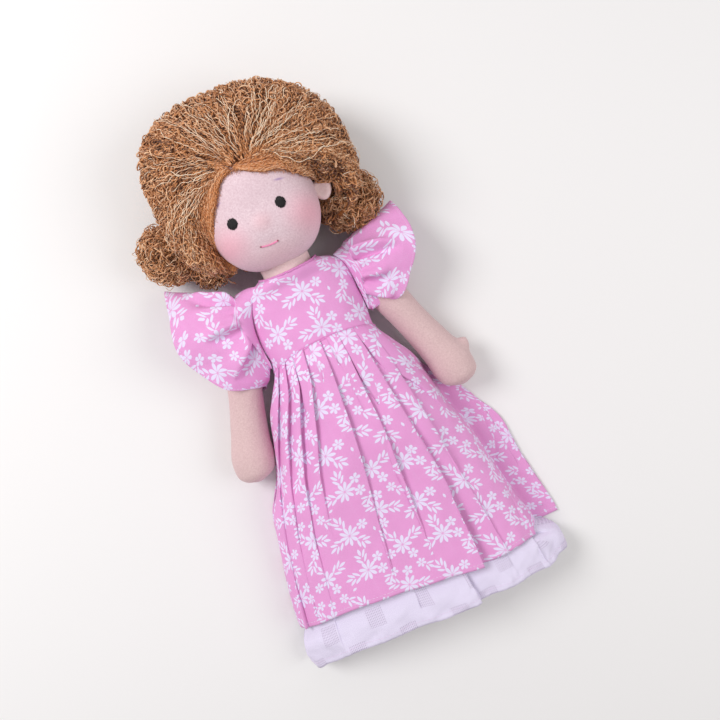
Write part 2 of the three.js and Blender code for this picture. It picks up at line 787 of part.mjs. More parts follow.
function skirtSection(y, angle) {
  const { halfWidth, brimOut, brimIn, brimmed, height, edge, fold } = skirtAt(y);
  const c = Math.cos(angle);
  const s = Math.sin(angle);
  const plain = domePoint(angle, halfWidth, height, edge, -flatCut);
  const brimHeight = 2 * clothWall + 3 * gap;
  const start = brimAngleShare * 2 * Math.PI;
  let flat = domePoint(angle, halfWidth, height, brimHeight, -flatCut);
  flat[0] += brimOut * Math.max(0, c);
  if (s >= 0 && angle < start) {
    flat = [halfWidth + brimOut - (brimOut + brimIn) * (angle / start), brimHeight];
  } else if (s >= 0) {
    const rest = ((angle - start) / (Math.PI - start)) * Math.PI;
    flat = domePoint(rest, halfWidth, height, brimHeight, -flatCut);
    flat[0] -= brimIn * Math.max(0, Math.cos(rest));
  }
  const wave = foldDepth * fold * Math.max(0, s) ** foldFadePower * Math.cos(2 * foldCount * angle);
  return [
    mix(plain[0], flat[0], brimmed) + wave * c * foldSideShare,
    Math.max(0, mix(plain[1], flat[1], brimmed) + wave * s),
  ];
}
const garmentAngles = (front, back) => [
  ...Array.from({ length: front }, (_, k) => (k / front) * Math.PI),
  ...Array.from({ length: back }, (_, k) => Math.PI * (1 + k / back)),
];

// The inner face of a cloth ring: each point moved in by the wall, square to the outline.
function innerRing(ring, wall) {
  const count = ring.length;
  return ring.map((point, k) => {
    const before = ring[(k + count - 1) % count];
    const after = ring[(k + 1) % count];
    const along = after.clone().sub(before).setY(0).normalize();
    return point.clone().add(new THREE.Vector3(-along.z, 0, along.x).multiplyScalar(wall));
  });
}
{
  const angles = garmentAngles(skirtFrontSides, skirtBackSides);
  const outer = skirtShares.map(([down], i) =>
    angles.map((a) => {
      const front = Math.max(0, Math.sin(a));
      const top = waistAt(a) - pipingRadius - gap;
      const y = mix(top, waistY - skirtLength, down) - skirtHemDip * front * down;
      const [x, z] = skirtSection(mix(waistY, waistY - skirtLength, down), a);
      return new THREE.Vector3(x, y, z);
    }),
  );
  const inner = outer.map((ring) => innerRing(ring, clothWall));
  place("skirt", ringBody([...outer, ...inner.reverse()], true), "dress");
}
{
  const elasticY = waistY - elasticDrop;
  const band = everyAngle(torsoSides).map((a) => torsoPoint(elasticY, a, gap + elasticThickness / 2));
  place("petticoat_elastic", loopTube(band, elasticThickness / 2, elasticHeight / 2, 4), "elastic");

  const angles = garmentAngles(petticoatFrontSides, petticoatBackSides);
  const topY = elasticY - elasticHeight / 2 - gap;
  const hemY = waistY - skirtLength;
  const outer = petticoatShares.map((down) =>
    angles.map((a) => {
      const y = topY - petticoatLength * down;
      if (down === 0) return torsoPoint(y, a, gap + clothWall);
      const { halfWidth, brimIn, height, edge, fold } = skirtAt(y);
      const inset = clothWall + foldDepth * fold + petticoatInset;
      const beyond = Math.max(0, hemY - skirtHemDip - y) / petticoatLength;
      const flare = Math.min(petticoatFlare, beyond * petticoatLength);
      const half = halfWidth - inset - brimIn * Math.max(0, Math.cos(a)) + flare;
      const wave = petticoatFoldDepth * down * Math.max(0, Math.sin(a)) * Math.cos(foldCount * a);
      const low = Math.max(edge, petticoatLift + 2 * clothWall);
      const [x, z] = domePoint(a, half, height - inset + wave, low, petticoatLift - flatCut);
      return new THREE.Vector3(x, y, Math.max(petticoatLift, z));
    }),
  );
  const inner = outer.map((ring) => innerRing(ring, clothWall));
  place("petticoat", ringBody([...outer, ...inner.reverse()], true), "petticoat");
}

// The finished doll stands with its origin under the middle of its box.
const box = new THREE.Box3().setFromObject(doll);
const centre = box.getCenter(new THREE.Vector3());
doll.position.set(-centre.x, -centre.y, -box.min.z);
const clothDoll = new THREE.Group();
clothDoll.add(doll);
export default clothDoll;
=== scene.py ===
# Cloth doll: the visible model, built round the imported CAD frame.
# Places are written in millimetres from the doll's hip fold, as in the CAD source, and moved to the row frame by SHIFT.
import math

import bmesh
import bpy
import numpy as np
from mathutils import Matrix, Vector
from mathutils.bvhtree import BVHTree


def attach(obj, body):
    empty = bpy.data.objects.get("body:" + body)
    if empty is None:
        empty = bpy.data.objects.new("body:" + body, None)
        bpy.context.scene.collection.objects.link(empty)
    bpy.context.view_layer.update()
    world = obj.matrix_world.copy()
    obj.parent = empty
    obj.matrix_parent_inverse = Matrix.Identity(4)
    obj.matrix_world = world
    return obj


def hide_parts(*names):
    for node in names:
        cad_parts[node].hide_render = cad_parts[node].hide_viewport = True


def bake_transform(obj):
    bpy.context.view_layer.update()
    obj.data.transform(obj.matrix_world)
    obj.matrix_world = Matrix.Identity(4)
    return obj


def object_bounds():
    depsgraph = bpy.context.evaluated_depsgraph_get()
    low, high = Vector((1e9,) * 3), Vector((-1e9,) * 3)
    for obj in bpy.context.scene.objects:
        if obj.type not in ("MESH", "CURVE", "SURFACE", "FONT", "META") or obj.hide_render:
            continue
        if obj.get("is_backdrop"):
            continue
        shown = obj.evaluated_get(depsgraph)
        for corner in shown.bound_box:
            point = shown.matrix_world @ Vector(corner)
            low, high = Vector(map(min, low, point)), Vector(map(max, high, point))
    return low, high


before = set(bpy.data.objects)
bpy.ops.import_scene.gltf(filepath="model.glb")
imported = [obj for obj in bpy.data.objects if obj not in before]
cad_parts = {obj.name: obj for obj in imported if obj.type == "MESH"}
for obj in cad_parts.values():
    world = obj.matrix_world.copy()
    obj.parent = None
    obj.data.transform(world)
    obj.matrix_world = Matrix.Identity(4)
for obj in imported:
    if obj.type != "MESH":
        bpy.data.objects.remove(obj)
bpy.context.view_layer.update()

MM = 0.001
SHIFT = np.array([0.05, -49.09, 0.0])
TURN = 2 * math.pi
UV_UNIT = 100.0  # millimetres of cloth in one unit of UV
UP = np.array([0, 0, 1.0])
scene = bpy.context.scene


def in_row(place):
    """A place in the row frame, in metres."""
    return (np.array(place) + SHIFT) * MM


# The camera stands where the photograph's did.
CAMERA_AT = (-15.0, 98.0, 550.0)
CAMERA_LOOKS_AT = (20.3, 37.3, 25.0)
IMAGE_UP = (0.4226, 0.9063, 0.0)
SENSOR_WIDTH = 36.0
FOCAL_SHARE = 0.9817  # focal length over the sensor's width

camera = bpy.data.objects.new("camera", bpy.data.cameras.new("camera"))
scene.collection.objects.link(camera)
camera.data.sensor_width = SENSOR_WIDTH
camera.data.lens = SENSOR_WIDTH * FOCAL_SHARE
camera.data.clip_start = 0.02
camera.data.clip_end = 20.0
eye = Vector(in_row(CAMERA_AT))
back = (eye - Vector(in_row(CAMERA_LOOKS_AT))).normalized()
right = Vector(IMAGE_UP).cross(back).normalized()
turned = Matrix((right, back.cross(right), back)).transposed()
camera.matrix_world = Matrix.Translation(eye) @ turned.to_4x4()
scene.camera = camera


# Numbers.
def smooth(rows, at):
    """Reads a table whose first column rises, with smooth slopes between its rows."""
    rows = np.asarray(rows, float)
    x, y = rows[:, 0], rows[:, 1:]
    step = np.diff(x)[:, None]
    slope = np.diff(y, axis=0) / step
    tangent = np.zeros_like(y)
    product = slope[:-1] * slope[1:]
    total = slope[:-1] + slope[1:]
    steady = product > 0
    tangent[1:-1][steady] = 2 * product[steady] / total[steady]
    tangent[0], tangent[-1] = slope[0], slope[-1]
    at = np.clip(np.atleast_1d(np.asarray(at, float)), x[0], x[-1])
    i = np.clip(np.searchsorted(x, at, side="right") - 1, 0, len(x) - 2)
    t = ((at - x[i]) / (x[i + 1] - x[i]))[:, None]
    h = step[i]
    return (
        (2 * t**3 - 3 * t**2 + 1) * y[i]
        + (t**3 - 2 * t**2 + t) * h * tangent[i]
        + (3 * t**2 - 2 * t**3) * y[i + 1]
        + (t**3 - t**2) * h * tangent[i + 1]
    )


def ease(value, low=0.0, high=1.0):
    t = np.clip((np.asarray(value, float) - low) / (high - low), 0, 1)
    return t * t * (3 - 2 * t)


def mix(a, b, share):
    return a + (b - a) * share


def hump(value, middle, width, power=2):
    """1 at the middle, and falling off to both sides of it."""
    return np.exp(-(((value - middle) / width) ** power))


def angles(count):
    return TURN * np.arange(count) / count


def unit(vectors):
    """The directions of vectors along the last axis."""
    return vectors / np.maximum(np.linalg.norm(vectors, axis=-1, keepdims=True), 1e-9)


def lengths(points, axis=0):
    """The distances between points that follow each other."""
    return np.linalg.norm(np.diff(points, axis=axis), axis=-1)


def run_up(steps):
    """The running sum of steps along the last axis, from 0."""
    return np.concatenate([np.zeros(steps.shape[:-1] + (1,)), np.cumsum(steps, -1)], -1)


def follow(points, run, at):
    """Places along a line of points, by the run from its start."""
    return np.stack([np.interp(at, run, points[:, i]) for i in range(3)], -1)


def wander(rng, rows, points, every):
    """Smooth random rows between -1 and 1, with a new value every so many points."""
    at = np.arange(points) / every
    first = np.floor(at).astype(int)
    share = ease(at - first)
    knots = rng.uniform(-1, 1, (rows, first[-1] + 2))
    return knots[:, first] * (1 - share) + knots[:, first + 1] * share


def ripple(points, seed, scale, count=9):
    """A smooth field over a grid of points, made of a few waves of different directions."""
    rng = np.random.default_rng(seed)
    total = np.zeros(points.shape[:-1])
    for _ in range(count):
        direction = rng.normal(size=3)
        direction /= np.linalg.norm(direction)
        wave = scale * rng.uniform(0.6, 1.7)
        total += np.sin(points @ direction * (TURN / wave) + rng.uniform(0, TURN))
    return total / math.sqrt(count)


def circle(turn, across, other):
    """Points of a unit circle, for each pair of square directions."""
    turn = turn[:, None]
    return np.cos(turn) * across[..., None, :] + np.sin(turn) * other[..., None, :]


def globe(tilt, turn):
    """Directions all round, in rows from the feet's side to the crown's."""
    tilt, turn = np.meshgrid(tilt, turn, indexing="ij")
    return np.stack([np.cos(tilt) * np.cos(turn), np.sin(tilt), np.cos(tilt) * np.sin(turn)], -1)


# Meshes.
def make_mesh(name, points, faces, uv=None, tone=None):
    """A mesh object from millimetre points and arrays of face corners."""
    sizes = np.concatenate([np.full(len(g), g.shape[1], np.int32) for g in faces])
    corners = np.concatenate([np.asarray(g, np.int32).ravel() for g in faces])
    mesh = bpy.data.meshes.new(name)
    mesh.vertices.add(len(points))
    mesh.vertices.foreach_set("co", ((points + SHIFT) * MM).astype(np.float32).ravel())
    mesh.loops.add(len(corners))
    mesh.loops.foreach_set("vertex_index", corners)
    mesh.polygons.add(len(sizes))
    mesh.polygons.foreach_set("loop_start", (np.cumsum(sizes) - sizes).astype(np.int32))
    mesh.polygons.foreach_set("use_smooth", np.ones(len(sizes), bool))
    mesh.update(calc_edges=True)
    if uv is not None:
        layer = mesh.uv_layers.new(name="cloth")
        flat = np.concatenate([u.reshape(-1, 2) for u in uv]) / UV_UNIT
        layer.data.foreach_set("uv", flat.astype(np.float32).ravel())
    if tone is not None:
        shade = mesh.attributes.new("tone", "FLOAT", "POINT")
        shade.data.foreach_set("value", np.asarray(tone, np.float32))
    made = bpy.data.objects.new(name, mesh)
    scene.collection.objects.link(made)
    return made


def grid_cells(rows, columns, loop=False):
    """Row and column of each quad's four corners in a grid. Columns of a loop run on past the last."""
    r, c = np.meshgrid(np.arange(rows - 1), np.arange(columns if loop else columns - 1), indexing="ij")
    r, c = r.ravel(), c.ravel()
    return np.stack([np.stack(pair, 1) for pair in ((r, c), (r, c + 1), (r + 1, c + 1), (r + 1, c))], 1)


def surface(name, grid, uv=None, loop=False, keep=None, flip=False):
    """An object from a grid of points, shape (rows, columns, 3). uv has one column more where the grid is a loop."""
    rows, columns = grid.shape[:2]
    cells = grid_cells(rows, columns, loop)
    if flip:
        cells = cells[:, ::-1]
    faces = cells[..., 0] * columns + cells[..., 1] % columns
    if keep is not None:
        inside = keep.reshape(-1)[faces].all(axis=1)
        faces, cells = faces[inside], cells[inside]
    corners = None if uv is None else [uv[cells[..., 0], cells[..., 1]]]
    made = make_mesh(name, grid.reshape(-1, 3), [faces], corners)
    if keep is not None:
        clear_loose(made)
    return made


def clear_loose(piece):
    """Removes the points that no face uses."""
    made = bmesh.new()
    made.from_mesh(piece.data)
    bmesh.ops.delete(made, geom=[v for v in made.verts if not v.link_faces], context="VERTS")
    made.to_mesh(piece.data)
    made.free()


def loft(name, rings, uv=False):
    """A closed body through rings of equal count, with a fan over each end."""
    rings = np.asarray(rings, float)
    count, sides = rings.shape[:2]
    cells = grid_cells(count, sides, True)
    faces = cells[..., 0] * sides + cells[..., 1] % sides
    points = np.concatenate([rings.reshape(-1, 3), rings[0].mean(0)[None], rings[-1].mean(0)[None]])
    k = np.arange(sides)
    first, last, top = len(points) - 2, len(points) - 1, (count - 1) * sides
    fan_a = np.stack([np.full(sides, first), (k + 1) % sides, k], 1)
    fan_b = np.stack([np.full(sides, last), top + k, top + (k + 1) % sides], 1)
    corners = None
    if uv:
        girth = run_up(np.linalg.norm(np.roll(rings, -1, 1) - rings, axis=2))
        girth = girth / girth[:, -1:] * girth[:, -1].max()
        along = run_up(lengths(rings.mean(1)))
        sheet = np.stack([girth, np.repeat(along[:, None], sides + 1, 1)], 2)
        end = np.zeros((sides, 3, 2))
        corners = [sheet[cells[..., 0], cells[..., 1]], end, end + along[-1]]
    return face_out(make_mesh(name, points, [faces, fan_a, fan_b], corners))


def face_out(piece):
    """Turns a closed mesh's faces the right way out."""
    mesh = piece.data
    co = read_points(piece)
    mesh.calc_loop_triangles()
    tri = np.zeros(len(mesh.loop_triangles) * 3, np.int32)
    mesh.loop_triangles.foreach_get("vertices", tri)
    a, b, c = (co[tri.reshape(-1, 3)[:, i]] for i in range(3))
    if (a * np.cross(b, c)).sum() < 0:
        mesh.flip_normals()
    return piece


def read_points(piece):
    co = np.zeros(len(piece.data.vertices) * 3, np.float32)
    piece.data.vertices.foreach_get("co", co)
    return co.reshape(-1, 3).astype(float) / MM - SHIFT


def settle(piece):
    """Applies the piece's modifiers."""
    bpy.context.view_layer.update()
    graph = bpy.context.evaluated_depsgraph_get()
    old = piece.data
    made = bpy.data.meshes.new_from_object(piece.evaluated_get(graph), preserve_all_data_layers=True, depsgraph=graph)
    piece.modifiers.clear()
    piece.data = made
    bpy.data.meshes.remove(old)
    made.polygons.foreach_set("use_smooth", np.ones(len(made.polygons), bool))
    return piece


def thicken(piece, wall, offset=-1.0):
    solid = piece.modifiers.new("wall", "SOLIDIFY")
    solid.thickness = wall * MM
    solid.offset = offset
    solid.use_even_offset = False
    return settle(piece)


def subdivide(piece):
    piece.modifiers.new("finer", "SUBSURF").levels = 1
    return settle(piece)


PRESSURE, STUFFING_FRAMES = 4.0, 20


def swell(piece, voxel, cap):
    """Stuffs a closed body: a remeshed copy is blown up as cloth, with its movement capped, and smoothed."""
    remesh = piece.modifiers.new("remesh", "REMESH")
    remesh.mode = "VOXEL"
    remesh.voxel_size = voxel * MM
    settle(piece)
    start = read_points(piece)
    cloth = piece.modifiers.new("cloth", "CLOTH")
    cloth.settings.use_pressure = True
    cloth.settings.uniform_pressure_force = PRESSURE
    cloth.settings.effector_weights.gravity = 0.0
    cloth.settings.quality = 4
    cloth.point_cache.frame_end = STUFFING_FRAMES
    for number in range(1, STUFFING_FRAMES + 1):
        scene.frame_set(number)
    moved = read_points(piece.evaluated_get(bpy.context.evaluated_depsgraph_get())) - start
    far = np.linalg.norm(moved, axis=1, keepdims=True)
    moved *= np.minimum(1, cap / np.maximum(far, 1e-6))
    piece.modifiers.clear()
    placed = (start + moved + SHIFT) * MM
    piece.data.vertices.foreach_set("co", placed.astype(np.float32).ravel())
    piece.data.update()
    scene.frame_set(1)
    return subdivide(piece)


def tubes(name, paths, radii, sides=3, tone=None):
    """Thin closed tubes along paths, shape (count, points, 3). radii has one value per path and point."""
    paths = np.asarray(paths, float)
    count, steps = paths.shape[:2]
    radii = np.broadcast_to(np.asarray(radii, float), (count, steps))
    along = unit(np.gradient(paths, axis=1))
    across = np.zeros_like(paths)
    across[:, 0] = unit(np.cross(along[:, 0], [0.3, 0.5, 0.81]))
    for i in range(1, steps):
        before = across[:, i - 1]
        across[:, i] = unit(before - (before * along[:, i]).sum(1, keepdims=True) * along[:, i])
    points = paths[:, :, None] + radii[..., None, None] * circle(angles(sides), across, np.cross(along, across))
    base = (np.arange(count) * steps * sides)[:, None, None]
    cells = grid_cells(steps, sides, True)
    faces = (base + (cells[..., 0] * sides + cells[..., 1] % sides)[None]).reshape(-1, 4)
    k = np.arange(sides)
    ends_a = (base[:, :, 0] + k[::-1]).reshape(-1, sides)
    ends_b = (base[:, :, 0] + (steps - 1) * sides + k).reshape(-1, sides)
    shade = None
    if tone is not None:
        shade = np.repeat(np.broadcast_to(np.asarray(tone, float), (count, steps)).reshape(-1), sides)
    return make_mesh(name, points.reshape(-1, 3), [faces, ends_a, ends_b], tone=shade)


def dress(piece, material, slot, body=None, *replaced):
    """Gives a piece its material, the body it rides on where one is given, and hides the parts it replaces. slot is not
    used.
    """
    piece.data.materials.append(material)
    if body:
        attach(piece, body)
    if replaced:
        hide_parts(*replaced)
    return piece


# Materials.
def srgb(*values):
    values = [x / 255 for x in values]
    return tuple(v / 12.92 if v <= 0.04045 else ((v + 0.055) / 1.055) ** 2.4 for v in values) + (1.0,)


def scaled(colour, share):
    return tuple(min(1, c * share) for c in colour[:3]) + (1.0,)


class Paint:
    """A node material with short names for the nodes it needs."""

    def __init__(self, name, roughness=0.85, sheen=0.0, specular=0.25):
        self.material = bpy.data.materials.new(name)
        self.material.use_nodes = True
        self.tree = self.material.node_tree
        self.shader = self.tree.nodes["Principled BSDF"]
        self.shader.inputs["Roughness"].default_value = roughness
        self.shader.inputs["Sheen Weight"].default_value = sheen
        self.shader.inputs["Sheen Roughness"].default_value = 0.4
        self.shader.inputs["Specular IOR Level"].default_value = specular

    def put(self, socket, value):
        if isinstance(value, bpy.types.NodeSocket):
            self.tree.links.new(value, socket)
        else:
            socket.default_value = value

    def node(self, kind, *values, **settings):
        """A new node with its first inputs filled in."""
        made = self.tree.nodes.new(kind)
        for key, value in settings.items():
            setattr(made, key, value)
        for i, value in enumerate(values):
            self.put(made.inputs[i], value)
        return made

    def math(self, operation, *values):
        return self.node("ShaderNodeMath", *values, operation=operation).outputs[0]

    def times(self, a, b):
        return self.math("MULTIPLY", a, b)

    def vector(self, operation, *values, scale=None):
        made = self.node("ShaderNodeVectorMath", *values, operation=operation)
        if scale is not None:
            made.inputs["Scale"].default_value = scale
        return made.outputs["Value" if operation == "LENGTH" else "Vector"]

    def split(self, vector):
        return self.node("ShaderNodeSeparateXYZ", vector).outputs

    def far(self, x, y):
        """The length of a vector in the plane."""
        return self.vector("LENGTH", self.node("ShaderNodeCombineXYZ", x, y, 0.0).outputs[0])

    def band(self, value, low, high, to_low=0.0, to_high=1.0, soft=False):
        kind = "SMOOTHSTEP" if soft else "LINEAR"
        made = self.node("ShaderNodeMapRange", value, low, high, to_low, to_high, interpolation_type=kind)
        return made.outputs[0]

    def noise(self, vector, scale, detail=2.0, roughness=0.5):
        made = self.node("ShaderNodeTexNoise")
        for key, value in dict(Vector=vector, Scale=scale, Detail=detail, Roughness=roughness).items():
            self.put(made.inputs[key], value)
        return made.outputs["Fac"]

    def mix(self, share, a, b):
        made = self.node("ShaderNodeMix", data_type="RGBA")
        for i, value in ((0, share), (6, a), (7, b)):
            self.put(made.inputs[i], value)
        return made.outputs[2]

    def cloth(self):
        """Place on the cloth, in millimetres."""
        return self.vector("SCALE", self.node("ShaderNodeUVMap", uv_map="cloth").outputs[0], scale=UV_UNIT)

    def place(self):
        """Place in space, in millimetres from the hip fold, that stays with the piece."""
        metres = self.node("ShaderNodeTexCoord").outputs["Object"]
        return self.vector("SUBTRACT", self.vector("SCALE", metres, scale=1 / MM), tuple(SHIFT))

    def finish(self, colour, height=None, strength=0.4, distance=0.2):
        """Sets the colour, and from the height field the bump and a little unevenness of the roughness."""
        self.put(self.shader.inputs["Base Color"], colour)
        if height is not None:
            rough = self.shader.inputs["Roughness"]
            middle = rough.default_value
            self.put(rough, self.band(height, 0.0, 1.0, min(1.0, middle + 0.08), middle - 0.08))
            bump = self.node("ShaderNodeBump")
            bump.inputs["Strength"].default_value = strength
            bump.inputs["Distance"].default_value = distance * MM
            self.put(bump.inputs["Height"], height)
            self.put(self.shader.inputs["Normal"], bump.outputs[0])
        return self.material


def grainy(name, deep, pale, grain, shader, bump, edges=(0.3, 0.7)):
    """A plain material, mottled between two colours by a noise that raises it too."""
    paint = Paint(name, *shader)
    speck = paint.noise(paint.place(), *grain)
    return paint.finish(paint.mix(paint.band(speck, *edges), srgb(*deep), srgb(*pale)), speck, *bump)


# Printed cotton. One repeat of the print: kind, place across and up, size, turn in degrees, petals or pairs of leaves.
PRINT_REPEAT = 64.0
TRACE = 1e-7
PRINT = [
    ("flower", 14.0, 14.0, 7.9, 10, 9),
    ("bloom", 25.2, 18.0, 4.2, 20, 6),
    ("sprig", 11.0, 20.6, 4.7, 115, 2),
    ("sprig", 7.6, 11.2, 4.6, 205, 2),
    ("sprig", 19.0, 8.6, 4.6, -42, 2),
    ("flower", 46.0, 22.0, 7.4, 0, 8),
    ("bloom", 48.6, 32.9, 4.1, 50, 5),
    ("bloom", 45.2, 10.8, 4.1, 10, 6),
    ("sprig", 52.6, 20.2, 4.6, -20, 2),
    ("sprig", 39.6, 25.4, 4.5, 152, 2),
    ("sprig", 43.0, 7.4, 4.4, -118, 2),
    ("flower", 20.0, 47.0, 7.7, 5, 9),
    ("bloom", 29.2, 53.4, 4.1, 0, 5),
    ("bloom", 30.6, 43.3, 4.2, 30, 6),
    ("sprig", 18.6, 54.0, 4.6, 100, 2),
    ("sprig", 13.0, 45.6, 4.6, 185, 2),
    ("flower", 52.0, 53.0, 7.2, 15, 8),
    ("bloom", 41.6, 49.8, 4.0, 40, 6),
    ("bloom", 57.0, 43.4, 4.0, 0, 5),
    ("sprig", 58.4, 55.6, 4.6, 22, 2),
    ("sprig", 48.6, 59.2, 4.3, 118, 1),
    ("bloom", 38.6, 36.2, 3.7, 15, 5),
    ("sprig", 35.2, 35.0, 4.1, 205, 1),
    ("bloom", 60.0, 34.0, 3.8, 25, 6),
    ("sprig", 62.8, 31.0, 4.2, -40, 1),
    ("leaf", 33.0, 10.5, 3.8, 100, 1),
    ("leaf", 6.0, 37.0, 3.8, 30, 1),
]
LEAN = math.radians(44)  # of a sprig's leaves from its stem


def bulge(paint, share, power, half_width):
    """Half the width of a petal or leaf along its length."""
    arc = paint.math("MAXIMUM", paint.math("SINE", paint.times(share, math.pi)), 0.0)
    return paint.times(paint.math("POWER", arc, power), half_width)


def flower_mask(paint, x, y, size, turn, petals, inner, half_width, fullness):
    """Separate petals round a centre: above 0 on a petal."""
    radius = paint.math("SQRT", paint.math("ADD", paint.times(x, x), paint.times(y, y)))
    bearing = paint.math("ARCTAN2", y, x)
    step = paint.math("MULTIPLY_ADD", bearing, petals / TURN, 10 + turn / 360 * petals)
    off = paint.times(paint.times(paint.math("PINGPONG", step, 0.5), TURN / petals), radius)
    share = paint.math("POWER", paint.band(radius, inner, size), 1.35 + 0.7 * fullness)
    return paint.math("SUBTRACT", bulge(paint, share, 0.6 - 0.22 * fullness, half_width), off)


def leaf_mask(paint, along, across, start, length, half_width):
    share = paint.band(along, start, start + length)
    return paint.math("SUBTRACT", bulge(paint, share, 0.72, half_width), across)


def print_mask(paint, cloth):
    """How far inside a printed motif a place of the cloth is, in millimetres, above 0 on the motif."""
    half = PRINT_REPEAT / 2
    total = paint.math("ADD", -1.0, 0.0)
    for kind, x0, y0, size, turn, count in PRINT:
        # The trace of the last motif makes the renderer work the motifs out one after another.
        after = paint.vector("MULTIPLY_ADD", total, (TRACE, TRACE, TRACE), cloth)
        moved = paint.vector("SUBTRACT", after, (x0, y0, 0.0))
        local = paint.vector("WRAP", moved, (half, half, half), (-half, -half, -half))
        if kind in ("sprig", "leaf"):
            spun = paint.node("ShaderNodeVectorRotate", local, rotation_type="Z_AXIS")
            spun.inputs["Angle"].default_value = -math.radians(turn)
            local = spun.outputs[0]
        x, y, _ = paint.split(local)
        if kind == "flower":
            found = [flower_mask(paint, x, y, size, turn, count, 0.55, 0.235 * TURN * size / count, 0.4)]
        elif kind == "bloom":
            found = [flower_mask(paint, x, y, size, turn, count, 0.3, 0.255 * TURN * size / count, 1.0)]
        elif kind == "leaf":
            found = [leaf_mask(paint, x, paint.math("ABSOLUTE", y), -size / 2, size, size * 0.25)]
        else:
            side = paint.math("ABSOLUTE", y)
            spacing = size * 0.84
            slid = paint.math("SUBTRACT", x, paint.times(side, 1 / math.tan(LEAN)))
            off = paint.times(paint.math("PINGPONG", slid, spacing / 2), math.sin(LEAN))
            leaves = leaf_mask(paint, paint.times(side, 1 / math.sin(LEAN)), off, 0.45, size * 1.35, size * 0.235)
            reach = (count - 0.5) * spacing
            inside = paint.math("COMPARE", slid, (reach - spacing / 2) / 2, (reach + spacing / 2) / 2)
            found = [
                paint.math("MULTIPLY_ADD", paint.math("SUBTRACT", inside, 1.0), 10.0, leaves),
                leaf_mask(paint, x, side, reach, size * 1.3, size * 0.25),
            ]
        for motif in found:
            total = paint.math("MAXIMUM", total, motif)
    return total


def woven(paint, cloth, pitch):
    """A plain weave's height, from two crossing sets of threads."""
    x, y, _ = paint.split(cloth)
    both = paint.times(*(paint.math("SINE", paint.times(along, TURN / pitch)) for along in (x, y)))
    uneven = paint.noise(cloth, 1.1)
    return paint.math("ADD", paint.math("MULTIPLY_ADD", both, 0.3, 0.5), paint.times(uneven, 0.4))


def printed_cotton(name, base, motif):
    paint = Paint(name, 0.78, 0.12, 0.2)
    cloth = paint.cloth()
    mask = paint.band(print_mask(paint, cloth), -0.05, 0.12)
    grain = paint.noise(cloth, 1.9, 3.0, 0.7)
    fade = paint.band(paint.noise(cloth, 0.045), 0.35, 0.65, 0.0, 0.25)
    lighter = scaled(base, 1.13)
    ground = paint.mix(paint.band(grain, 0.3, 0.7), scaled(base, 0.82), lighter)
    ground = paint.mix(fade, ground, lighter)
    ink = paint.mix(paint.band(grain, 0.25, 0.75), scaled(motif, 0.86), motif)
    colour = paint.mix(paint.times(mask, paint.band(grain, 0.1, 0.4, 0.85, 1.0)), ground, ink)
    height = paint.math("ADD", woven(paint, cloth, 0.55), paint.times(mask, 0.15))
    return paint.finish(colour, height, 0.35, 0.14)


cotton = printed_cotton("printed_cotton", srgb(230, 157, 212), srgb(238, 228, 254))
trim = grainy("pink_trim", (206, 124, 184), (232, 156, 212), (1.6, 3.0), (0.75, 0.1, 0.2), (0.5, 0.25))


def jersey(name, pale, deep, marks=()):
    """Knitted skin: fine rows of stitches, a little mottled. marks are soft dyed places: centre, half sizes, tilt,
    colour, share."""
    paint = Paint(name, 0.88, 0.25, 0.15)
    place = paint.place()
    x, y, z = paint.split(place)
    speck = paint.noise(place, 0.8, 3.0, 0.75)
    colour = paint.mix(paint.band(speck, 0.3, 0.7), deep, pale)
    colour = paint.mix(paint.band(paint.noise(place, 0.06), 0.4, 0.7, 0.0, 0.2), colour, deep)
    for (cx, cy), (hx, hy), tilt, dye, share in marks:
        dx, dy = paint.math("SUBTRACT", x, cx), paint.math("SUBTRACT", y, cy)
        c, s = math.cos(math.radians(tilt)), math.sin(math.radians(tilt))
        along = paint.math("ADD", paint.times(dx, c / hx), paint.times(dy, s / hx))
        across = paint.math("SUBTRACT", paint.times(dy, c / hy), paint.times(dx, s / hy))
        stained = paint.band(paint.far(along, across), 1.0, 0.0, 0.0, share, soft=True)
        stained = paint.times(stained, paint.band(z, 40.0, 60.0))
        colour = paint.mix(paint.times(stained, paint.band(speck, 0.2, 0.8, 0.75, 1.1)), colour, dye)
    rows = paint.math("SINE", paint.times(y, TURN / 0.62))
    wales = paint.math("SINE", paint.times(x, TURN / 0.48))
    return paint.finish(colour, paint.math("MULTIPLY_ADD", paint.times(rows, wales), 0.3, speck), 0.3, 0.16)


HEAD_Y = 172.9
BLUSH = srgb(238, 150, 172)
VIOLET = srgb(150, 118, 178)
FACE_MARKS = [
    ((-30.5, 147.0), (23.0, 21.0), 0, BLUSH, 0.5),
    ((28.5, 147.0), (24.0, 22.0), 0, BLUSH, 0.52),
    ((-3.5, 153.0), (11.0, 9.0), 0, srgb(240, 178, 186), 0.3),
    ((-4.0, 130.0), (38.0, 14.0), 0, srgb(240, 188, 196), 0.35),
    ((-25.2, 174.8), (4.6, 1.3), 11, VIOLET, 0.75),
    ((18.5, 173.6), (5.2, 1.3), -6, VIOLET, 0.75),
]
face_jersey = jersey("face_jersey", srgb(237, 214, 221), srgb(212, 183, 192), FACE_MARKS)
# The neck's jersey, also used for the ears, is coloured lighter than the face's: painted light against the shade under
# the chin.
neck_jersey = jersey("neck_jersey", srgb(246, 222, 220), srgb(234, 203, 204))
# The body's jersey is pinker and a little darker: its own tone, and partly painted shade where the arms lie in shadow.
body_jersey = jersey("body_jersey", srgb(224, 195, 195), srgb(206, 174, 175))


def thread(name, pale, deep, roughness=0.5):
    return grainy(name, deep, pale, (2.6, 3.0), (roughness, 0.2, 0.35), (0.5, 0.12))


eye_thread = thread("eye_thread", (26, 22, 26), (10, 8, 10), 0.48)
mouth_silk = thread("mouth_silk", (243, 152, 190), (228, 126, 170))
mouth_knot = thread("mouth_knot", (160, 42, 62), (110, 26, 40))
hem_thread = thread("hem_thread", (244, 226, 244), (222, 196, 224), 0.7)


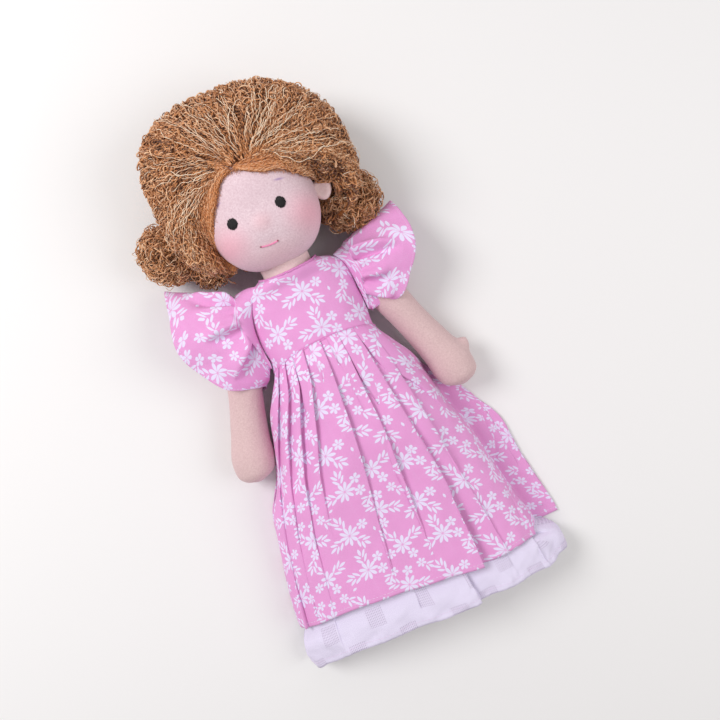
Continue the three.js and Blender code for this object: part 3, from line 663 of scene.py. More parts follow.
# The body.
TORSO_LENGTH, TORSO_HALF_WIDTH, TORSO_HALF_DEPTH, TORSO_Z = 120.0, 42.0, 23.5, 26.9
# Share of the length, width, depth, lean towards the neck's height, lift of the layers over it.
TORSO = [
    [0, 0.95, 1, 0, 0],
    [0.2, 0.97, 1, 0, 0],
    [0.475, 0.95, 0.97, 0, 0],
    [0.65, 0.98, 1, 0, 0],
    [0.8, 1, 1, 0.02, 0],
    [0.9, 0.97, 0.93, 0.25, 0.3],
    [0.96, 0.78, 0.88, 0.75, 0.8],
    [1, 0.5, 0.83, 1, 0.7],
]
NECK_RADIUS, NECK_Z = 18.5, 35.9
HEAD_HALF = (41.5, 47.0, 38.0)
HEAD_Z = 45.5
HEAD_AT = np.array([0, HEAD_Y, HEAD_Z])
SHOULDER_Y, SHOULDER_Z = 103.2, 27.2
WAIST_Y, WAIST_ARCH = 57.0, 8.6


def torso_point(y, angle, grow):
    """Points of a layer that has grown out from the torso."""
    y, angle = np.broadcast_arrays(np.asarray(y, float), np.asarray(angle, float))
    width, depth, to_neck, lift = smooth(TORSO, (y / TORSO_LENGTH).ravel()).T.reshape(4, *y.shape)
    x = (TORSO_HALF_WIDTH * width + grow) * np.cos(angle)
    z = mix(TORSO_Z, NECK_Z, to_neck) + (TORSO_HALF_DEPTH * depth + grow) * np.sin(angle)
    return np.stack([x, y + grow * lift, z], -1)


def stuffed(name, made, body, *replaced, voxel=3.4, cap=1.2, fill=0.85):
    """A jersey skin swollen by its wool."""
    made = dress(swell(made, voxel, cap), body_jersey, "jersey_body", body, *replaced)
    made.name = name


ring = angles(40)
level = np.ones(40)
torso_rings = []
for t in np.radians([84, 72, 56, 38, 19]):
    c, deep = math.cos(t), TORSO_HALF_DEPTH - 1
    x = (TORSO_HALF_WIDTH * 0.95 - 1) * c**0.3 * np.cos(ring)
    torso_rings.append(np.stack([x, -deep * math.sin(t) * level, TORSO_Z + deep * c * np.sin(ring)], 1))
torso_rings += [torso_point(y, ring, -1.0) for y in np.linspace(0, TORSO_LENGTH, 34)]
stuffed("torso", loft("torso", torso_rings), "torso", "torso_skin", "torso_stuffing", voxel=4.0, cap=1.4, fill=0.8)


def head_radius(direction):
    """Distance from the head's middle to its skin: an egg that is fuller at the cheeks than at the crown."""
    x, y, z = direction[..., 0], direction[..., 1], direction[..., 2]
    power = mix(2.0, 2.55, ease(-y, -0.1, 0.6))
    halves = (HEAD_HALF[0], np.where(y < 0, HEAD_HALF[1] + 2.0, HEAD_HALF[1]), HEAD_HALF[2])
    total = sum(np.abs(d / h) ** power for d, h in zip((x, y, z), halves))
    return total ** (-1 / power)


def face_relief(x, y):
    """The small shapes of the face: a nose, full cheeks, a shallow line across the eyes and the mouth's hollow."""
    nose = 1.5 * hump(x, -3.5, 5.0) * hump(y, 153.5, 4.6)
    line = -1.0 * hump(y, 162.5, 9.0) * hump(x, 0, 34, 4)
    cheeks = 0.9 * (hump(x, 25, 11) + hump(x, -29, 11)) * hump(y, 148, 10)
    return nose + line + cheeks - 0.5 * hump(x, -4, 9) * hump(y, 139.5, 2.6)


def head_front(x, y):
    """Height of the face at places of it, found step by step."""
    z = np.full(x.shape, 30.0)
    for _ in range(12):
        d = np.stack([x, y - HEAD_Y, z], -1)
        far = np.linalg.norm(d, axis=-1)
        z = z * (1 + (head_radius(d / far[..., None]) / far - 1) * 1.15)
    return HEAD_Z + z + face_relief(x, y)


directions = globe(np.linspace(-math.pi / 2 + 0.05, math.pi / 2 - 0.05, 90), angles(120))
head_points = directions * head_radius(directions)[..., None]
relief = face_relief(head_points[..., 0], head_points[..., 1] + HEAD_Y)
head_points[..., 2] += relief * ease(head_points[..., 2], 4, 20)
head = dress(loft("head", head_points + HEAD_AT), face_jersey, "jersey_face", "head", "head_skin", "head_core")

neck_rings = []
for y in np.linspace(TORSO_LENGTH - 5, TORSO_LENGTH + 20, 28):
    share = (y - TORSO_LENGTH) / 20
    radius = NECK_RADIUS + 0.9 * ease(-share, -0.1, 0.3) + 0.6 * ease(share, 0.2, 0.8)
    radius = radius + 0.16 * np.sin(ring * 22) + 0.12 * np.sin(ring * 9 + 1.0)
    neck_rings.append(np.stack([radius * np.cos(ring), y * level, NECK_Z + radius * np.sin(ring)], 1))
neck = subdivide(loft("neck", neck_rings, uv=True))
dress(neck, neck_jersey, "jersey_face", None, "neck_skin", "neck_core", "neck_thread")
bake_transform(neck)


def ear(name, side, out, y):
    """A small jersey ear: a lens with a rolled rim and a hollow in front, that tapers to its lobe."""
    rows = []
    for share in np.linspace(-1, 1, 25)[1:-1]:
        lens = share * math.pi / 2
        flat = math.cos(lens) ** 0.6
        x = 6.9 * flat * np.cos(ring) * (1 + 0.16 * np.sin(ring))
        hollow = 1.5 * ease(share, 0.25, 0.95) * (1 - flat)
        z = 3.2 * math.sin(lens) - hollow + 0.25 * np.abs(x) * (side * x > 0)
        rows.append(np.stack([x, 7.7 * flat * np.sin(ring), z], 1))
    points = np.array(rows) + np.array([side * out, y, HEAD_Z + 1.6])
    dress(loft(f"{name}_cloth", points), neck_jersey, "jersey_face", "head", name)


ear("ear_left", 1, 45.3, 160.4)
ear("ear_right", -1, 40.4, HEAD_Y - 12)


def satin_eye(side, x, y):
    """A satin-stitched oval: upright threads side by side over a low pad."""
    half_w, half_h, count, steps = 3.4, 3.9, 13, 12
    rng = np.random.default_rng(int(abs(x) * 10))
    t = np.linspace(-1, 1, steps)
    paths = []
    for offset in np.linspace(-half_w + 0.25, half_w - 0.25, count):
        oval = 1 - (offset / half_w) ** 2
        reach = half_h * math.sqrt(oval) * 0.97 + rng.uniform(-0.15, 0.3)
        px = x + offset + 0.18 * rng.uniform(-1, 1) * t
        py = y + reach * t
        paths.append(np.stack([px, py, head_front(px, py) + 0.02 + 0.9 * oval * (1 - t**4)], 1))
    made = tubes(f"eye_{side}_stitched", paths, 0.36 * (1 - 0.45 * np.abs(t) ** 8), sides=6)
    dress(made, eye_thread, "eye_thread", "head", f"eye_{side}")


satin_eye("left", 13.1, HEAD_Y - 13.2)
satin_eye("right", -21.3, HEAD_Y - 13.2)


def mouth_piece(name, low, high, radius, count, material, *replaced):
    """A line of laid thread along the smile."""
    t = np.linspace(low, high, count)
    px = -4.9 + t * 5.9
    py = HEAD_Y - 35 + 0.65 * t**2 - 0.4 * t
    path = np.stack([px, py, head_front(px, py) + radius * 0.55], 1)
    made = tubes(name, path[None], radius * (1 + 0.12 * np.cos(np.arange(count) * 2.1)), sides=8)
    dress(made, material, "mouth_thread", "head", *replaced)


mouth_piece("smile", -0.97, 0.97, 0.5, 60, mouth_silk, "mouth_thread")
mouth_piece("smile_end_right", -1.07, -0.95, 0.55, 5, mouth_knot)
mouth_piece("smile_end_left", 0.95, 1.07, 0.55, 5, mouth_knot)


# The limbs.
def merge(piece, other):
    """Adds another mesh's faces to the piece."""
    made = bmesh.new()
    made.from_mesh(piece.data)
    made.from_mesh(other.data)
    made.to_mesh(piece.data)
    made.free()
    bpy.data.objects.remove(other)
    return piece


def limb(name, centres, half_across, half_thick, sides=28):
    """A closed body of rings square to a centre line."""
    centres = np.asarray(centres, float)
    along = unit(np.gradient(centres, axis=0))
    side = unit(np.cross(along, UP))
    turn = angles(sides)
    wide = (half_across[:, None] * np.cos(turn))[..., None] * side[:, None]
    thick = (half_thick[:, None] * np.sin(turn))[..., None] * np.cross(side, along)[:, None]
    return loft(name, centres[:, None] + wide + thick)


# Share of the arm's length, share of the reach out, share of the way down, girth, share of the sink to the floor.
ARM = [
    [0, 0, 0, 0.55, 0],
    [0.1, 0.12, 0.02, 0.78, 0.05],
    [0.24, 0.33, 0.15, 0.94, 0.3],
    [0.4, 0.5, 0.33, 1, 0.6],
    [0.56, 0.67, 0.52, 1, 0.85],
    [0.72, 0.83, 0.7, 1.06, 1],
    [0.86, 0.94, 0.84, 1.2, 1],
    [0.95, 0.99, 0.93, 1.08, 1],
    [0.99, 1, 0.985, 0.55, 1],
    [1, 1, 1, 0.1, 1],
]
ARM_ROOT, ARM_REACH, ARM_LENGTH = 42.3, 44.0, 118.0
ARM_HALF_WIDTH, ARM_HALF_THICK = 13.9, 13.2


def arm(name, side, sink):
    at = np.linspace(0, 1, 44)
    out, down, size, lower = smooth(ARM, at).T
    x = side * (ARM_ROOT - 3 + (ARM_REACH + 3) * out)
    centres = np.stack([x, SHOULDER_Y - ARM_LENGTH * down, SHOULDER_Z - sink * lower], 1)
    hollow = 1 - 0.05 * hump(at, 0.5, 0.12)
    return limb(name, centres, ARM_HALF_WIDTH * size * hollow, ARM_HALF_THICK * size * hollow)


thumb_tip = np.array([97.0, 14.0, 19.7])
thumb_turn = math.radians(48)
thumb_way = np.array([math.cos(thumb_turn), math.sin(thumb_turn), 0.05])
thumb_at = np.linspace(-1, 1, 16)
thumb_half = 6.4 * np.sqrt(1.02 - thumb_at**2)
thumb = limb("thumb", thumb_tip + (thumb_at[:, None] * 9.5 - 3.0) * thumb_way, thumb_half, thumb_half, 16)
for side, made in (("left", merge(arm("arm_left", 1, 7.5), thumb)), ("right", arm("arm_right", -1, 10.0))):
    name = f"arm_{side}"
    stuffed(f"{name}_cloth", made, name, f"{name}_skin", f"{name}_stuffing", voxel=2.6)

# Share of the leg's length, share of its way out, girth.
LEG = [
    [0, 0, 0.33],
    [0.04, 0, 0.62],
    [0.12, 0.1, 0.86],
    [0.3, 0.45, 1],
    [0.55, 0.85, 0.98],
    [0.78, 1, 0.9],
    [0.9, 1, 0.9],
    [0.97, 1, 0.7],
    [0.99, 1, 0.4],
]
LEG_TOP, LEG_LENGTH, LEG_HALF, LEG_BACK = -24, 125, 14.8, 4.8
for name, side in (("leg_left", 1), ("leg_right", -1)):
    at = np.linspace(0, 0.99, 40)
    out, size = smooth(LEG, at).T
    centres = [side * (20 + 4 * out), LEG_TOP - LEG_LENGTH * at, LEG_BACK + LEG_HALF * size.clip(0.75)]
    leg = limb(name, np.stack(centres, 1), LEG_HALF * size, LEG_HALF * size)
    foot_turn = angles(24)
    foot = []
    for up in np.linspace(0, 1, 20):
        k = math.sqrt(min(1, max(0.01, 1 - ((up - 0.35) / 0.66) ** 2)))
        y = LEG_TOP - LEG_LENGTH * 0.905 + 12.2 * k * np.sin(foot_turn)
        foot.append(np.stack([side * 24 + 13.2 * k * np.cos(foot_turn), y, np.full(24, 5.0 + 38 * up)], 1))
    stuffed(f"{name}_cloth", merge(leg, loft("foot", foot)), name, f"{name}_skin", f"{name}_stuffing")


# The bodice.
CLOTH_WALL = 0.45


def waist_at(angle):
    return WAIST_Y + WAIST_ARCH * np.maximum(0, np.sin(angle)) ** 1.5


def neckline_at(angle):
    """The neckline dips in front."""
    return TORSO_LENGTH + 0.9 - 3.0 * np.maximum(0, np.sin(angle)) ** 1.3


def grid_normals(grid, loop=False):
    """Unit normals of a grid, from its rows to its columns."""
    if loop:
        padded = np.concatenate([grid[:, -1:], grid, grid[:, :1]], 1)
        across = (padded[:, 2:] - padded[:, :-2]) / 2
    else:
        across = np.gradient(grid, axis=1)
    return unit(np.cross(np.gradient(grid, axis=0), across))


def cloth_uv(grid, place, turn):
    """Places on the cloth for a grid: even rows and columns as long as the grid's own, turned by some degrees."""
    u = run_up(lengths(grid, 1))
    u = u - u[:, grid.shape[1] // 2][:, None]
    v = run_up(lengths(grid).mean(1))[:, None]
    c, s = math.cos(math.radians(turn)), math.sin(math.radians(turn))
    return np.stack([place[0] + u * c + v * s, place[1] - v * c + u * s], 2)


def bodice(name, start, end, columns, grow, uv_from, turn):
    """One panel, from the neckline down to the waist seam, with armholes left open."""
    rows = 64
    angle = np.linspace(start, end, columns)
    down = np.linspace(0, 1, rows)[:, None] ** 0.92
    y = mix(neckline_at(angle) - 0.3, waist_at(angle) - 0.9, down)
    grid = torso_point(np.minimum(y, TORSO_LENGTH), angle, grow)
    grid[..., 1] = y
    drag = ripple(grid * [1, 1, 0.4], 5, 26.0) * 0.38 + ripple(grid, 6, 9.0) * 0.1
    pull = 0.55 * hump(y, 62, 9) * np.sin(grid[..., 0] / 4.3 + y / 9)
    grid += grid_normals(grid) * (drag + pull * 0.35 - 0.7 * ease(down, 0.975, 1.0))[..., None]
    keep = np.hypot(grid[..., 1] - SHOULDER_Y, grid[..., 2] - SHOULDER_Z) > 9.0
    keep |= np.abs(grid[..., 0]) < 33
    made = thicken(surface(f"{name}_cloth", grid, cloth_uv(grid, uv_from, turn), keep=keep, flip=True), CLOTH_WALL)
    dress(made, cotton, "dress_print", "torso", name)
    lengths(grid[rows // 2]).sum() * MM * 1.02


bodice("bodice_front", math.pi + 0.06, -0.06, 130, 1.1, (9, 38), 8)
bodice("bodice_back_left", 0.03, -math.pi / 2 - 0.06, 64, 1.1, (20, 5), -4)
bodice("bodice_back_right", -math.pi / 2 + 0.06, -math.pi - 0.03, 64, 1.5, (51, 22), 5)


def seam_cord(name, points, radius, replaced):
    """A closed loop of cord on the torso."""
    count, sides = len(points), 8
    along = unit(np.roll(points, -1, 0) - np.roll(points, 1, 0))
    side = unit(np.cross(along, [0, 1.0, 0]))
    rings = points[:, None] + radius * circle(angles(sides), side, np.cross(side, along))
    i, j = (index.ravel() for index in np.meshgrid(np.arange(count), np.arange(sides), indexing="ij"))
    k, m = (i + 1) % count, (j + 1) % sides
    faces = np.stack([i * sides + j, i * sides + m, k * sides + m, k * sides + j], 1)
    dress(face_out(make_mesh(name, rings.reshape(-1, 3), [faces])), trim, "dress_trim", "torso", replaced)


seam_angle = angles(240)
seam_cord("waist_seam", torso_point(waist_at(seam_angle) - 0.7, seam_angle, 1.15), 0.75, "waist_piping")
neckline = torso_point(np.minimum(neckline_at(seam_angle), TORSO_LENGTH), seam_angle, 1.0)
neckline[:, 1] = neckline_at(seam_angle) + 0.12 * np.sin(seam_angle * 31)
seam_cord("neckline_edge", neckline, 0.85, "neckline_binding")


# The sleeves.
def closed_curve(knots, count):
    """A smooth closed curve through knots, at even steps of the knots' order."""
    knots = np.asarray(knots, float)
    n = len(knots)
    at = np.arange(count) / count * n
    i = np.floor(at).astype(int)
    t = (at - i)[:, None]
    p0, p1, p2, p3 = (knots[(i + k) % n] for k in (-1, 0, 1, 2))
    return 0.5 * (2 * p1 + (p2 - p0) * t + (2 * p0 - 5 * p1 + 4 * p2 - p3) * t**2 + (3 * p1 - p0 - 3 * p2 + p3) * t**3)


def crease(angle, share, start, end, width, depth, reach):
    """A fold across the sleeve: a ridge above and a valley below a line, fading out along it."""
    off = ((angle - mix(math.radians(start), math.radians(end), share) + math.pi) % TURN - math.pi) / width
    fold = np.sign(off) * np.abs(off) ** 0.6 * np.exp(-(off**2) / 1.6)
    fade = ease(share, -0.12, 0.08) * (1 - ease(share, reach * 0.55, reach)) if reach < 1 else ease(share, -0.12, 0.1)
    return -depth * fold * fade


def on_torso(x, y, front, grow=1.5):
    """The place on a layer over the torso that has this x and y, on its front or its back."""
    width, depth, to_neck, _ = smooth(TORSO, y / TORSO_LENGTH)[0]
    across = min(0.999, x / (TORSO_HALF_WIDTH * width + grow))
    rise = (TORSO_HALF_DEPTH * depth + grow) * math.sqrt(1 - across**2)
    return x, y, mix(TORSO_Z, NECK_Z, to_neck) + (rise if front else -rise)


# Rings through knots from the top round by the front, with the seam on the torso given across and up. A crease has
# its bearings at the armhole and the hem, its width, depth and reach.
SLEEVES = {
    "left": dict(
        side=1,
        seam=[(34, 116.5), (38.5, 109), (40.5, 97), (41, 84), (41.5, 70), (41, 84), (40, 97), (37, 109)],
        fold=[(43, 119, 30), (45, 112, 43), (45.5, 97, 44.5), (44, 81, 38), (44, 68, 27), (44, 81, 15), (46, 97, 7.5),
              (45, 110, 11)],
        hem=[(91.5, 134.5, 20), (93.8, 116, 39), (89, 94, 43), (69, 70, 38.5), (48, 70.5, 24), (60, 72, 7),
             (86, 92, 2), (93.5, 116, 4)],
        puff=0.4,
        creases=[(50, 80, 0.14, 7.5, 0.8), (104, 108, 0.13, 6.0, 0.6), (134, 142, 0.14, 7.5, 0.85),
                 (20, 30, 0.25, 1.8, 0.8), (215, 200, 0.3, 2.6, 1.0), (290, 280, 0.3, 2.0, 0.9)],
        uv=(12, 30),
        turn=62,
    ),
    "right": dict(
        side=-1,
        seam=[(24, 118.6), (33, 109), (38.6, 96.5), (40.8, 83), (40.5, 63), (40.5, 83), (38.6, 96.5), (32, 109)],
        fold=[(44, 118.5, 30), (45, 113, 43), (47.8, 99, 44.5), (45, 77, 38), (42.5, 61, 27), (45, 77, 14),
              (48, 99, 7.5), (45, 112, 11)],
        hem=[(87.5, 143.2, 20), (91, 124, 38), (94.6, 95, 43.5), (78.5, 63.5, 40), (52, 49.6, 25), (62, 53, 6),
             (90, 90, 1.6), (91, 124, 4)],
        puff=1.6,
        creases=[(30, 14, 0.14, 7.5, 0.75), (92, 86, 0.13, 8.0, 0.62), (122, 146, 0.14, 8.5, 0.8),
                 (180, 196, 0.3, 2.4, 0.8), (230, 222, 0.3, 2.6, 1.0), (300, 290, 0.3, 2.0, 0.9)],
        uv=(40, 3),
        turn=-66,
    ),
}


def sleeve_blend(piece, side):
    """Bakes the piece's placement into its mesh. side is not used."""
    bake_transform(piece)


def sleeve(side, shape):
    count, cap_rows, rows = 200, 12, 58
    turn = angles(count)
    seam = [on_torso(x, y, i <= len(shape["seam"]) // 2) for i, (x, y) in enumerate(shape["seam"])]
    seam, fold, hem = (closed_curve(knots, count) for knots in (seam, shape["fold"], shape["hem"]))
    over = np.linspace(0, 1, cap_rows, endpoint=False)[:, None]
    down = np.linspace(0, 1, rows)[:, None]
    grid = np.concatenate([mix(seam[None], fold[None], over[..., None]), mix(fold[None], hem[None], down[..., None])])
    outward = grid - grid.mean(1, keepdims=True)
    outward[..., 0] *= 0.1
    outward = unit(outward)
    body = 2.2 * np.sin(down**0.8 * math.pi) * (0.55 + 0.1 * np.cos(2 * turn))
    gathers = 1.35 * np.exp(-down / 0.3) * np.cos(15 * turn + 0.8 * np.sin(3 * turn))
    total = body + gathers * ease(down, 0, 0.05)
    for values in shape["creases"]:
        total = total + crease(turn, down, *values)
    wave = 1.2 * ease(down, 0.3, 1.0) * np.sin(5 * turn + 1.2) + 0.3 * ease(down, 0.4, 1.0) * np.sin(9 * turn)
    at_tip = hump(np.minimum(turn, TURN - turn), 0, 0.42)
    lift = np.zeros(grid.shape[:2])
    lift[:cap_rows] = shape["puff"] * np.sin(over * math.pi) ** 0.8
    lift[cap_rows:] = (total + wave * 0.8) * (1 - 0.75 * at_tip * down)
    grid = grid + outward * lift[..., None]
    grid += outward * (ripple(grid, 21, 22.0) * 0.4 + ripple(grid, 22, 8.0) * 0.12)[..., None]
    grid[..., 2] = np.maximum(grid[..., 2], 0.6)
    grid[..., 0] *= shape["side"]
    closed = np.concatenate([grid, grid[:, :1]], 1)
    uv = cloth_uv(closed, shape["uv"], shape["turn"])
    made = thicken(surface(f"sleeve_{side}_cloth", grid, uv, loop=True, flip=shape["side"] < 0), CLOTH_WALL)
    dress(made, cotton, "dress_print", None, f"sleeve_{side}")
    sleeve_blend(made, side)
    flat = (lengths(closed, 1).sum(1).mean() * 1.03 * MM, lengths(grid).sum(0).mean() * 1.03 * MM)
    return grid


sleeve_grids = {side: sleeve(side, shape) for side, shape in SLEEVES.items()}


# The skirt.
SKIRT_LENGTH, SKIRT_HALF_WIDTH, SKIRT_WAIST_HALF, SKIRT_FLAT = 180.0, 113.0, 45.5, 0.198
FRONT_HEIGHT, TOE_HEIGHT, BRIM, HEM_DIP = 58.5, 50.0, 16.0, 6.0
SECTION = 0.82
BRIM_START = 0.06 * TURN
BRIM_HEIGHT = 2.6
# Share of the way down, width, the brim's reach out and draw in at the doll's left, height, height of the edge.
SKIRT = [
    [0, 0, 0, 0, 1, 0.5],
    [0.06, 0.04, 0, 0, 1, 0.43],
    [0.15, 0.195, 0, 0, 1, 0.3],
    [0.27, 0.317, 0.4, 0.1, 1, 0.18],
    [0.4, 0.447, 0.9, 0.3, 0.9, 0.12],
    [0.53, 0.659, 0.9, 0.7, 0.45, 0.09],
    [0.69, 0.788, 0.6, 0.9, 0.1, 0.07],
    [0.85, 0.9, 0.4, 1, 0, 0.06],
    [1, 0.985, 0.35, 1, 0.1, 0.06],
    [1.25, 0.985, 0.35, 1, 0.1, 0.06],
]


def dome(angle, half, height, edge, low):
    c, s = np.cos(angle), np.sin(angle)
    x = half * np.sign(c) * np.abs(c) ** SECTION
    above, below = (height - edge) * np.abs(s) ** SECTION, (low - edge) * np.abs(s) ** (SECTION / 2)
    return x, edge + np.where(s >= 0, above, below)


def skirt_base(down, angle):
    """The skirt's outline without its pleats: a dome over a flat back that reaches out at the doll's left."""
    width, out, draw, height, edge = smooth(SKIRT, down)[0]
    half = mix(SKIRT_WAIST_HALF, SKIRT_HALF_WIDTH, width)
    high = mix(TOE_HEIGHT, FRONT_HEIGHT, height)
    out, draw = BRIM * out, BRIM * draw
    brimmed = min(1.0, 2 * (out + draw) / BRIM)
    low = 0.6
    px, pz = dome(angle, half, high, max(high * edge, low), low)
    fx, fz = dome(angle, half, high, BRIM_HEIGHT, low)
    c, s = np.cos(angle), np.sin(angle)
    fx = fx + out * np.maximum(0, c)
    on_brim = (s >= 0) & (c > 0) & (angle % TURN < BRIM_START)
    share = np.clip((angle % TURN) / BRIM_START, 0, 1)
    rest = np.clip((angle % TURN - BRIM_START) / (math.pi - BRIM_START), 0, 1) * math.pi
    rx, rz = dome(rest, half, high, BRIM_HEIGHT, low)
    rx = rx - draw * np.maximum(0, np.cos(rest))
    fx = np.where(s >= 0, np.where(on_brim, half + out - (out + draw) * share, rx), fx)
    fz = np.where(s >= 0, np.where(on_brim, BRIM_HEIGHT, rz), fz)
    x, z = mix(px, fx, brimmed), np.maximum(low, mix(pz, fz, brimmed))
    waist = torso_point(waist_at(angle), angle, 0.5)
    loose = float(ease(down, -0.02, 0.075))
    return mix(waist[..., 0], x, loose), mix(waist[..., 2], z, loose)


# Pleats of the front from the doll's right to its left: shares of the way down, then for each pleat the place of
# its edge across and its height at those shares, and the cloth that stays folded under it at the hem.
DOWNS = [0, 0.12, 0.28, 0.45, 0.65, 0.85, 1]
FRONT_PLEATS = [
    ([-36, -46, -62, -76, -88, -97, -102], [0.8, 2.2, 2.6, 2.2, 1.4, 0.7, 0.5], 1.0),
    ([-30, -37, -53, -66, -78, -87, -92], [0.8, 3.4, 3.8, 2.4, 1.2, 0.6, 0.4], 1.0),
    ([-23.5, -28, -42, -54, -65, -73, -78], [0.8, 3.8, 4.4, 2.8, 1.4, 0.6, 0.3], 1.0),
    ([-14.5, -19, -30, -42, -52, -58, -62], [0.8, 2.6, 3.6, 3.0, 1.4, 0.4, 0.2], 0.0),
    ([-1, -3, -6, -10, -17, -23, -27], [0.8, 2.2, 3.4, 3.0, 1.4, 0.4, 0.2], 0.0),
    ([12.5, 12.5, 12.8, 12.8, 10.5, 8, 6], [0.8, 1.9, 2.8, 2.4, 1.0, 0.3, 0.2], 0.0),
    ([24, 26.5, 29.5, 33, 37.5, 38.2, 37.5], [0.8, 2.1, 3.0, 4.0, 5.6, 7.2, 8.0], 18.0),
    ([33, 38, 42.5, 46.5, 52, 57, 60], [0.8, 1.9, 2.4, 2.6, 2.2, 1.8, 1.6], 1.0),
    ([38, 47, 58, 67, 77, 83, 87], [0.8, 1.7, 1.8, 1.7, 1.5, 1.8, 1.8], 3.0),
]
BACK_EXTRA = 2.0  # cloth folded under each pleat of a back
FINE = 3600  # points round a garment's row before its pleats are softened


def smooth_loop(values, window):
    """A moving mean over a closed run of values whose last is its first."""
    half = max(1, int(window) // 2)
    kernel = np.hanning(2 * half + 3)[1:-1]
    kernel /= kernel.sum()
    return np.convolve(np.concatenate([values[-1 - half : -1], values, values[1 : 1 + half]]), kernel, "valid")


def base_line(base, down, count=1440):
    """The outline of a row from the middle of the back round by the doll's right: run, place, normal and angle."""
    angle = 1.5 * math.pi - TURN * np.arange(count + 1) / count
    x, z = base(down, angle)
    run = run_up(np.hypot(np.diff(x), np.diff(z)))
    even = np.linspace(0, run[-1], count + 1)
    x, z, angle = (np.interp(even, run, values) for values in (x, z, angle))
    tx, tz = (np.gradient(np.concatenate([[values[-2]], values, [values[1]]]))[1:-1] for values in (x, z))
    size = np.maximum(np.hypot(tx, tz), 1e-9)
    nx, nz = smooth_loop(-tz / size, 30), smooth_loop(tx / size, 30)
    return even, x, z, nx, nz, angle


def pleat_places(line, down, fronts, backs):
    """Where each pleat's edge is along a row, how high it stands, and how much of that lies below the outline."""
    run, x, angle = line[0], line[1], line[5]
    front = (np.sin(angle) >= 0) & (angle < math.pi + 0.01) & (angle > -0.01)
    at = [np.interp(np.interp(down, DOWNS, places), x[front], run[front]) for places, _, _ in fronts]
    high = [np.interp(down, DOWNS, heights) for _, heights, _ in fronts]
    before, after = ([(p * run[-1], h) for p, h in backs if (p < 0.5) == first] for first in (True, False))
    at = [a for a, _ in before] + at + [a for a, _ in after]
    high = [h for _, h in before] + high + [h for _, h in after]
    sink = [1.0] * len(before) + [0.62] * len(fronts) + [1.0] * len(after)
    return np.array(at), np.array(high), np.array(sink)


def pleated(downs, base, fronts, backs, y_of, soft, pitch):
    """A grid for a pleated garment whose columns follow the cloth, so that every pleat's edge keeps its column.
    Also its places across the cloth, with one column more, and its width."""
    lines = [base_line(base, down) for down in downs]
    places = [pleat_places(line, down, fronts, backs) for line, down in zip(lines, downs)]
    half = len(backs) // 2
    extra = np.array([BACK_EXTRA] * half + [e for _, _, e in fronts] + [BACK_EXTRA] * half)
    gaps = np.array([np.append(np.diff(at), at[0] + line[0][-1] - at[-1]) for (at, _, _), line in zip(places, lines)])
    panel = gaps.max(axis=0) * 1.004 + extra
    columns = []
    for k, long in enumerate(panel):
        share = np.linspace(0, 1, max(6, int(round(long / pitch))), endpoint=False)
        columns.append(panel[:k].sum() + long * (share - 0.6 / TURN * np.sin(TURN * share)))
    columns = np.concatenate(columns)
    total = panel.sum()
    grid = np.zeros((len(downs), len(columns), 3))
    fine = np.linspace(0, total, FINE)
    rise = np.linspace(0, 1, 15)[1:-1]
    climb = rise**0.75 * (3 - 2 * rise**0.75) * rise**0.75
    for r, (down, line, (at, high, sink)) in enumerate(zip(downs, lines, places)):
        run, x, z, nx, nz, angle = line
        fold = np.maximum(0, (panel - gaps[r] * 1.003) / 2)
        high = high * np.clip(fold / 1.6 + 0.3, 0, 1)
        top, low = high * (1 - sink), -high * sink
        cloth_at, spot, lift = [], [], []
        for k in range(len(panel)):
            after = at[k] + gaps[r][k]
            next_top = top[(k + 1) % len(panel)]
            # The edge turns in under the pleat, comes back out, and climbs to the next pleat's edge.
            a = np.append(at[k] - fold[k] * np.array([0, 0.02, 1, 0.96]), at[k] + 0.06 * gaps[r][k])
            h = mix(top[k], low[k], np.array([0, 0.3, 0.62, 1, 1]))
            a = np.concatenate([a, mix(a[-1], after, rise)])
            h = np.concatenate([h, mix(low[k], next_top, climb)])
            going = run_up(np.hypot(np.diff(a), np.diff(h)))
            going = going / (going[-1] + math.hypot(after - a[-1], next_top - h[-1])) * panel[k]
            cloth_at.append(panel[:k].sum() + going)
            spot.append(a)
            lift.append(h)
        cloth_at = np.append(np.concatenate(cloth_at), total)
        a = np.interp(fine, cloth_at, np.append(np.concatenate(spot), at[0] + run[-1]))
        h = np.interp(fine, cloth_at, np.append(np.concatenate(lift), top[0]))
        wrapped = a % run[-1]
        px = np.interp(wrapped, run, x) + h * np.interp(wrapped, run, nx)
        pz = np.interp(wrapped, run, z) + h * np.interp(wrapped, run, nz)
        height = y_of(down, np.interp(wrapped, run, np.unwrap(angle)))
        window = mix(*soft, float(ease(down, 0, 0.6))) / (total / FINE)
        for i, values in enumerate((px, height, pz)):
            grid[r, :, i] = np.interp(columns, fine, smooth_loop(values, window))
    for _ in range(4):
        grid[1:-1] = mix(grid[1:-1], (grid[:-2] + grid[2:]) / 2, 0.5)
    uv = np.zeros((len(downs), len(columns) + 1, 2))
    uv[..., 0] = np.append(columns, total)
    return grid, uv, total


# The hems in front, which hang lower towards the doll's left: place across and up.
SKIRT_HEM = [[-115, -134], [-105, -131], [-75, -126.5], [-49, -129], [-24, -134.5], [3, -138.5], [33, -141],
             [64, -142], [80, -144], [97, -146.5], [115, -147]]
PETTICOAT_HEM = [[-112, -167], [-100, -164], [-67, -160.5], [-33, -160.5], [6, -164], [26, -166], [53, -167],
                 [86, -168.5], [112, -169]]


def hem_y(table, straight, angle):
    """The hem's height up the doll: as in the table in front, straight behind."""
    c = np.cos(angle)
    front = smooth(table, 112 * np.sign(c) * np.abs(c) ** SECTION)[:, 0]
    return np.where(np.sin(angle) >= 0, front, mix(straight, front, np.abs(c) ** 5))


def skirt_y(down, angle):
    """Height up the doll of a row's points: arched over the belly at the waist, dipped at the hem."""
    return mix(waist_at(angle) - 0.3, hem_y(SKIRT_HEM, WAIST_Y - SKIRT_LENGTH - 3, angle), down)


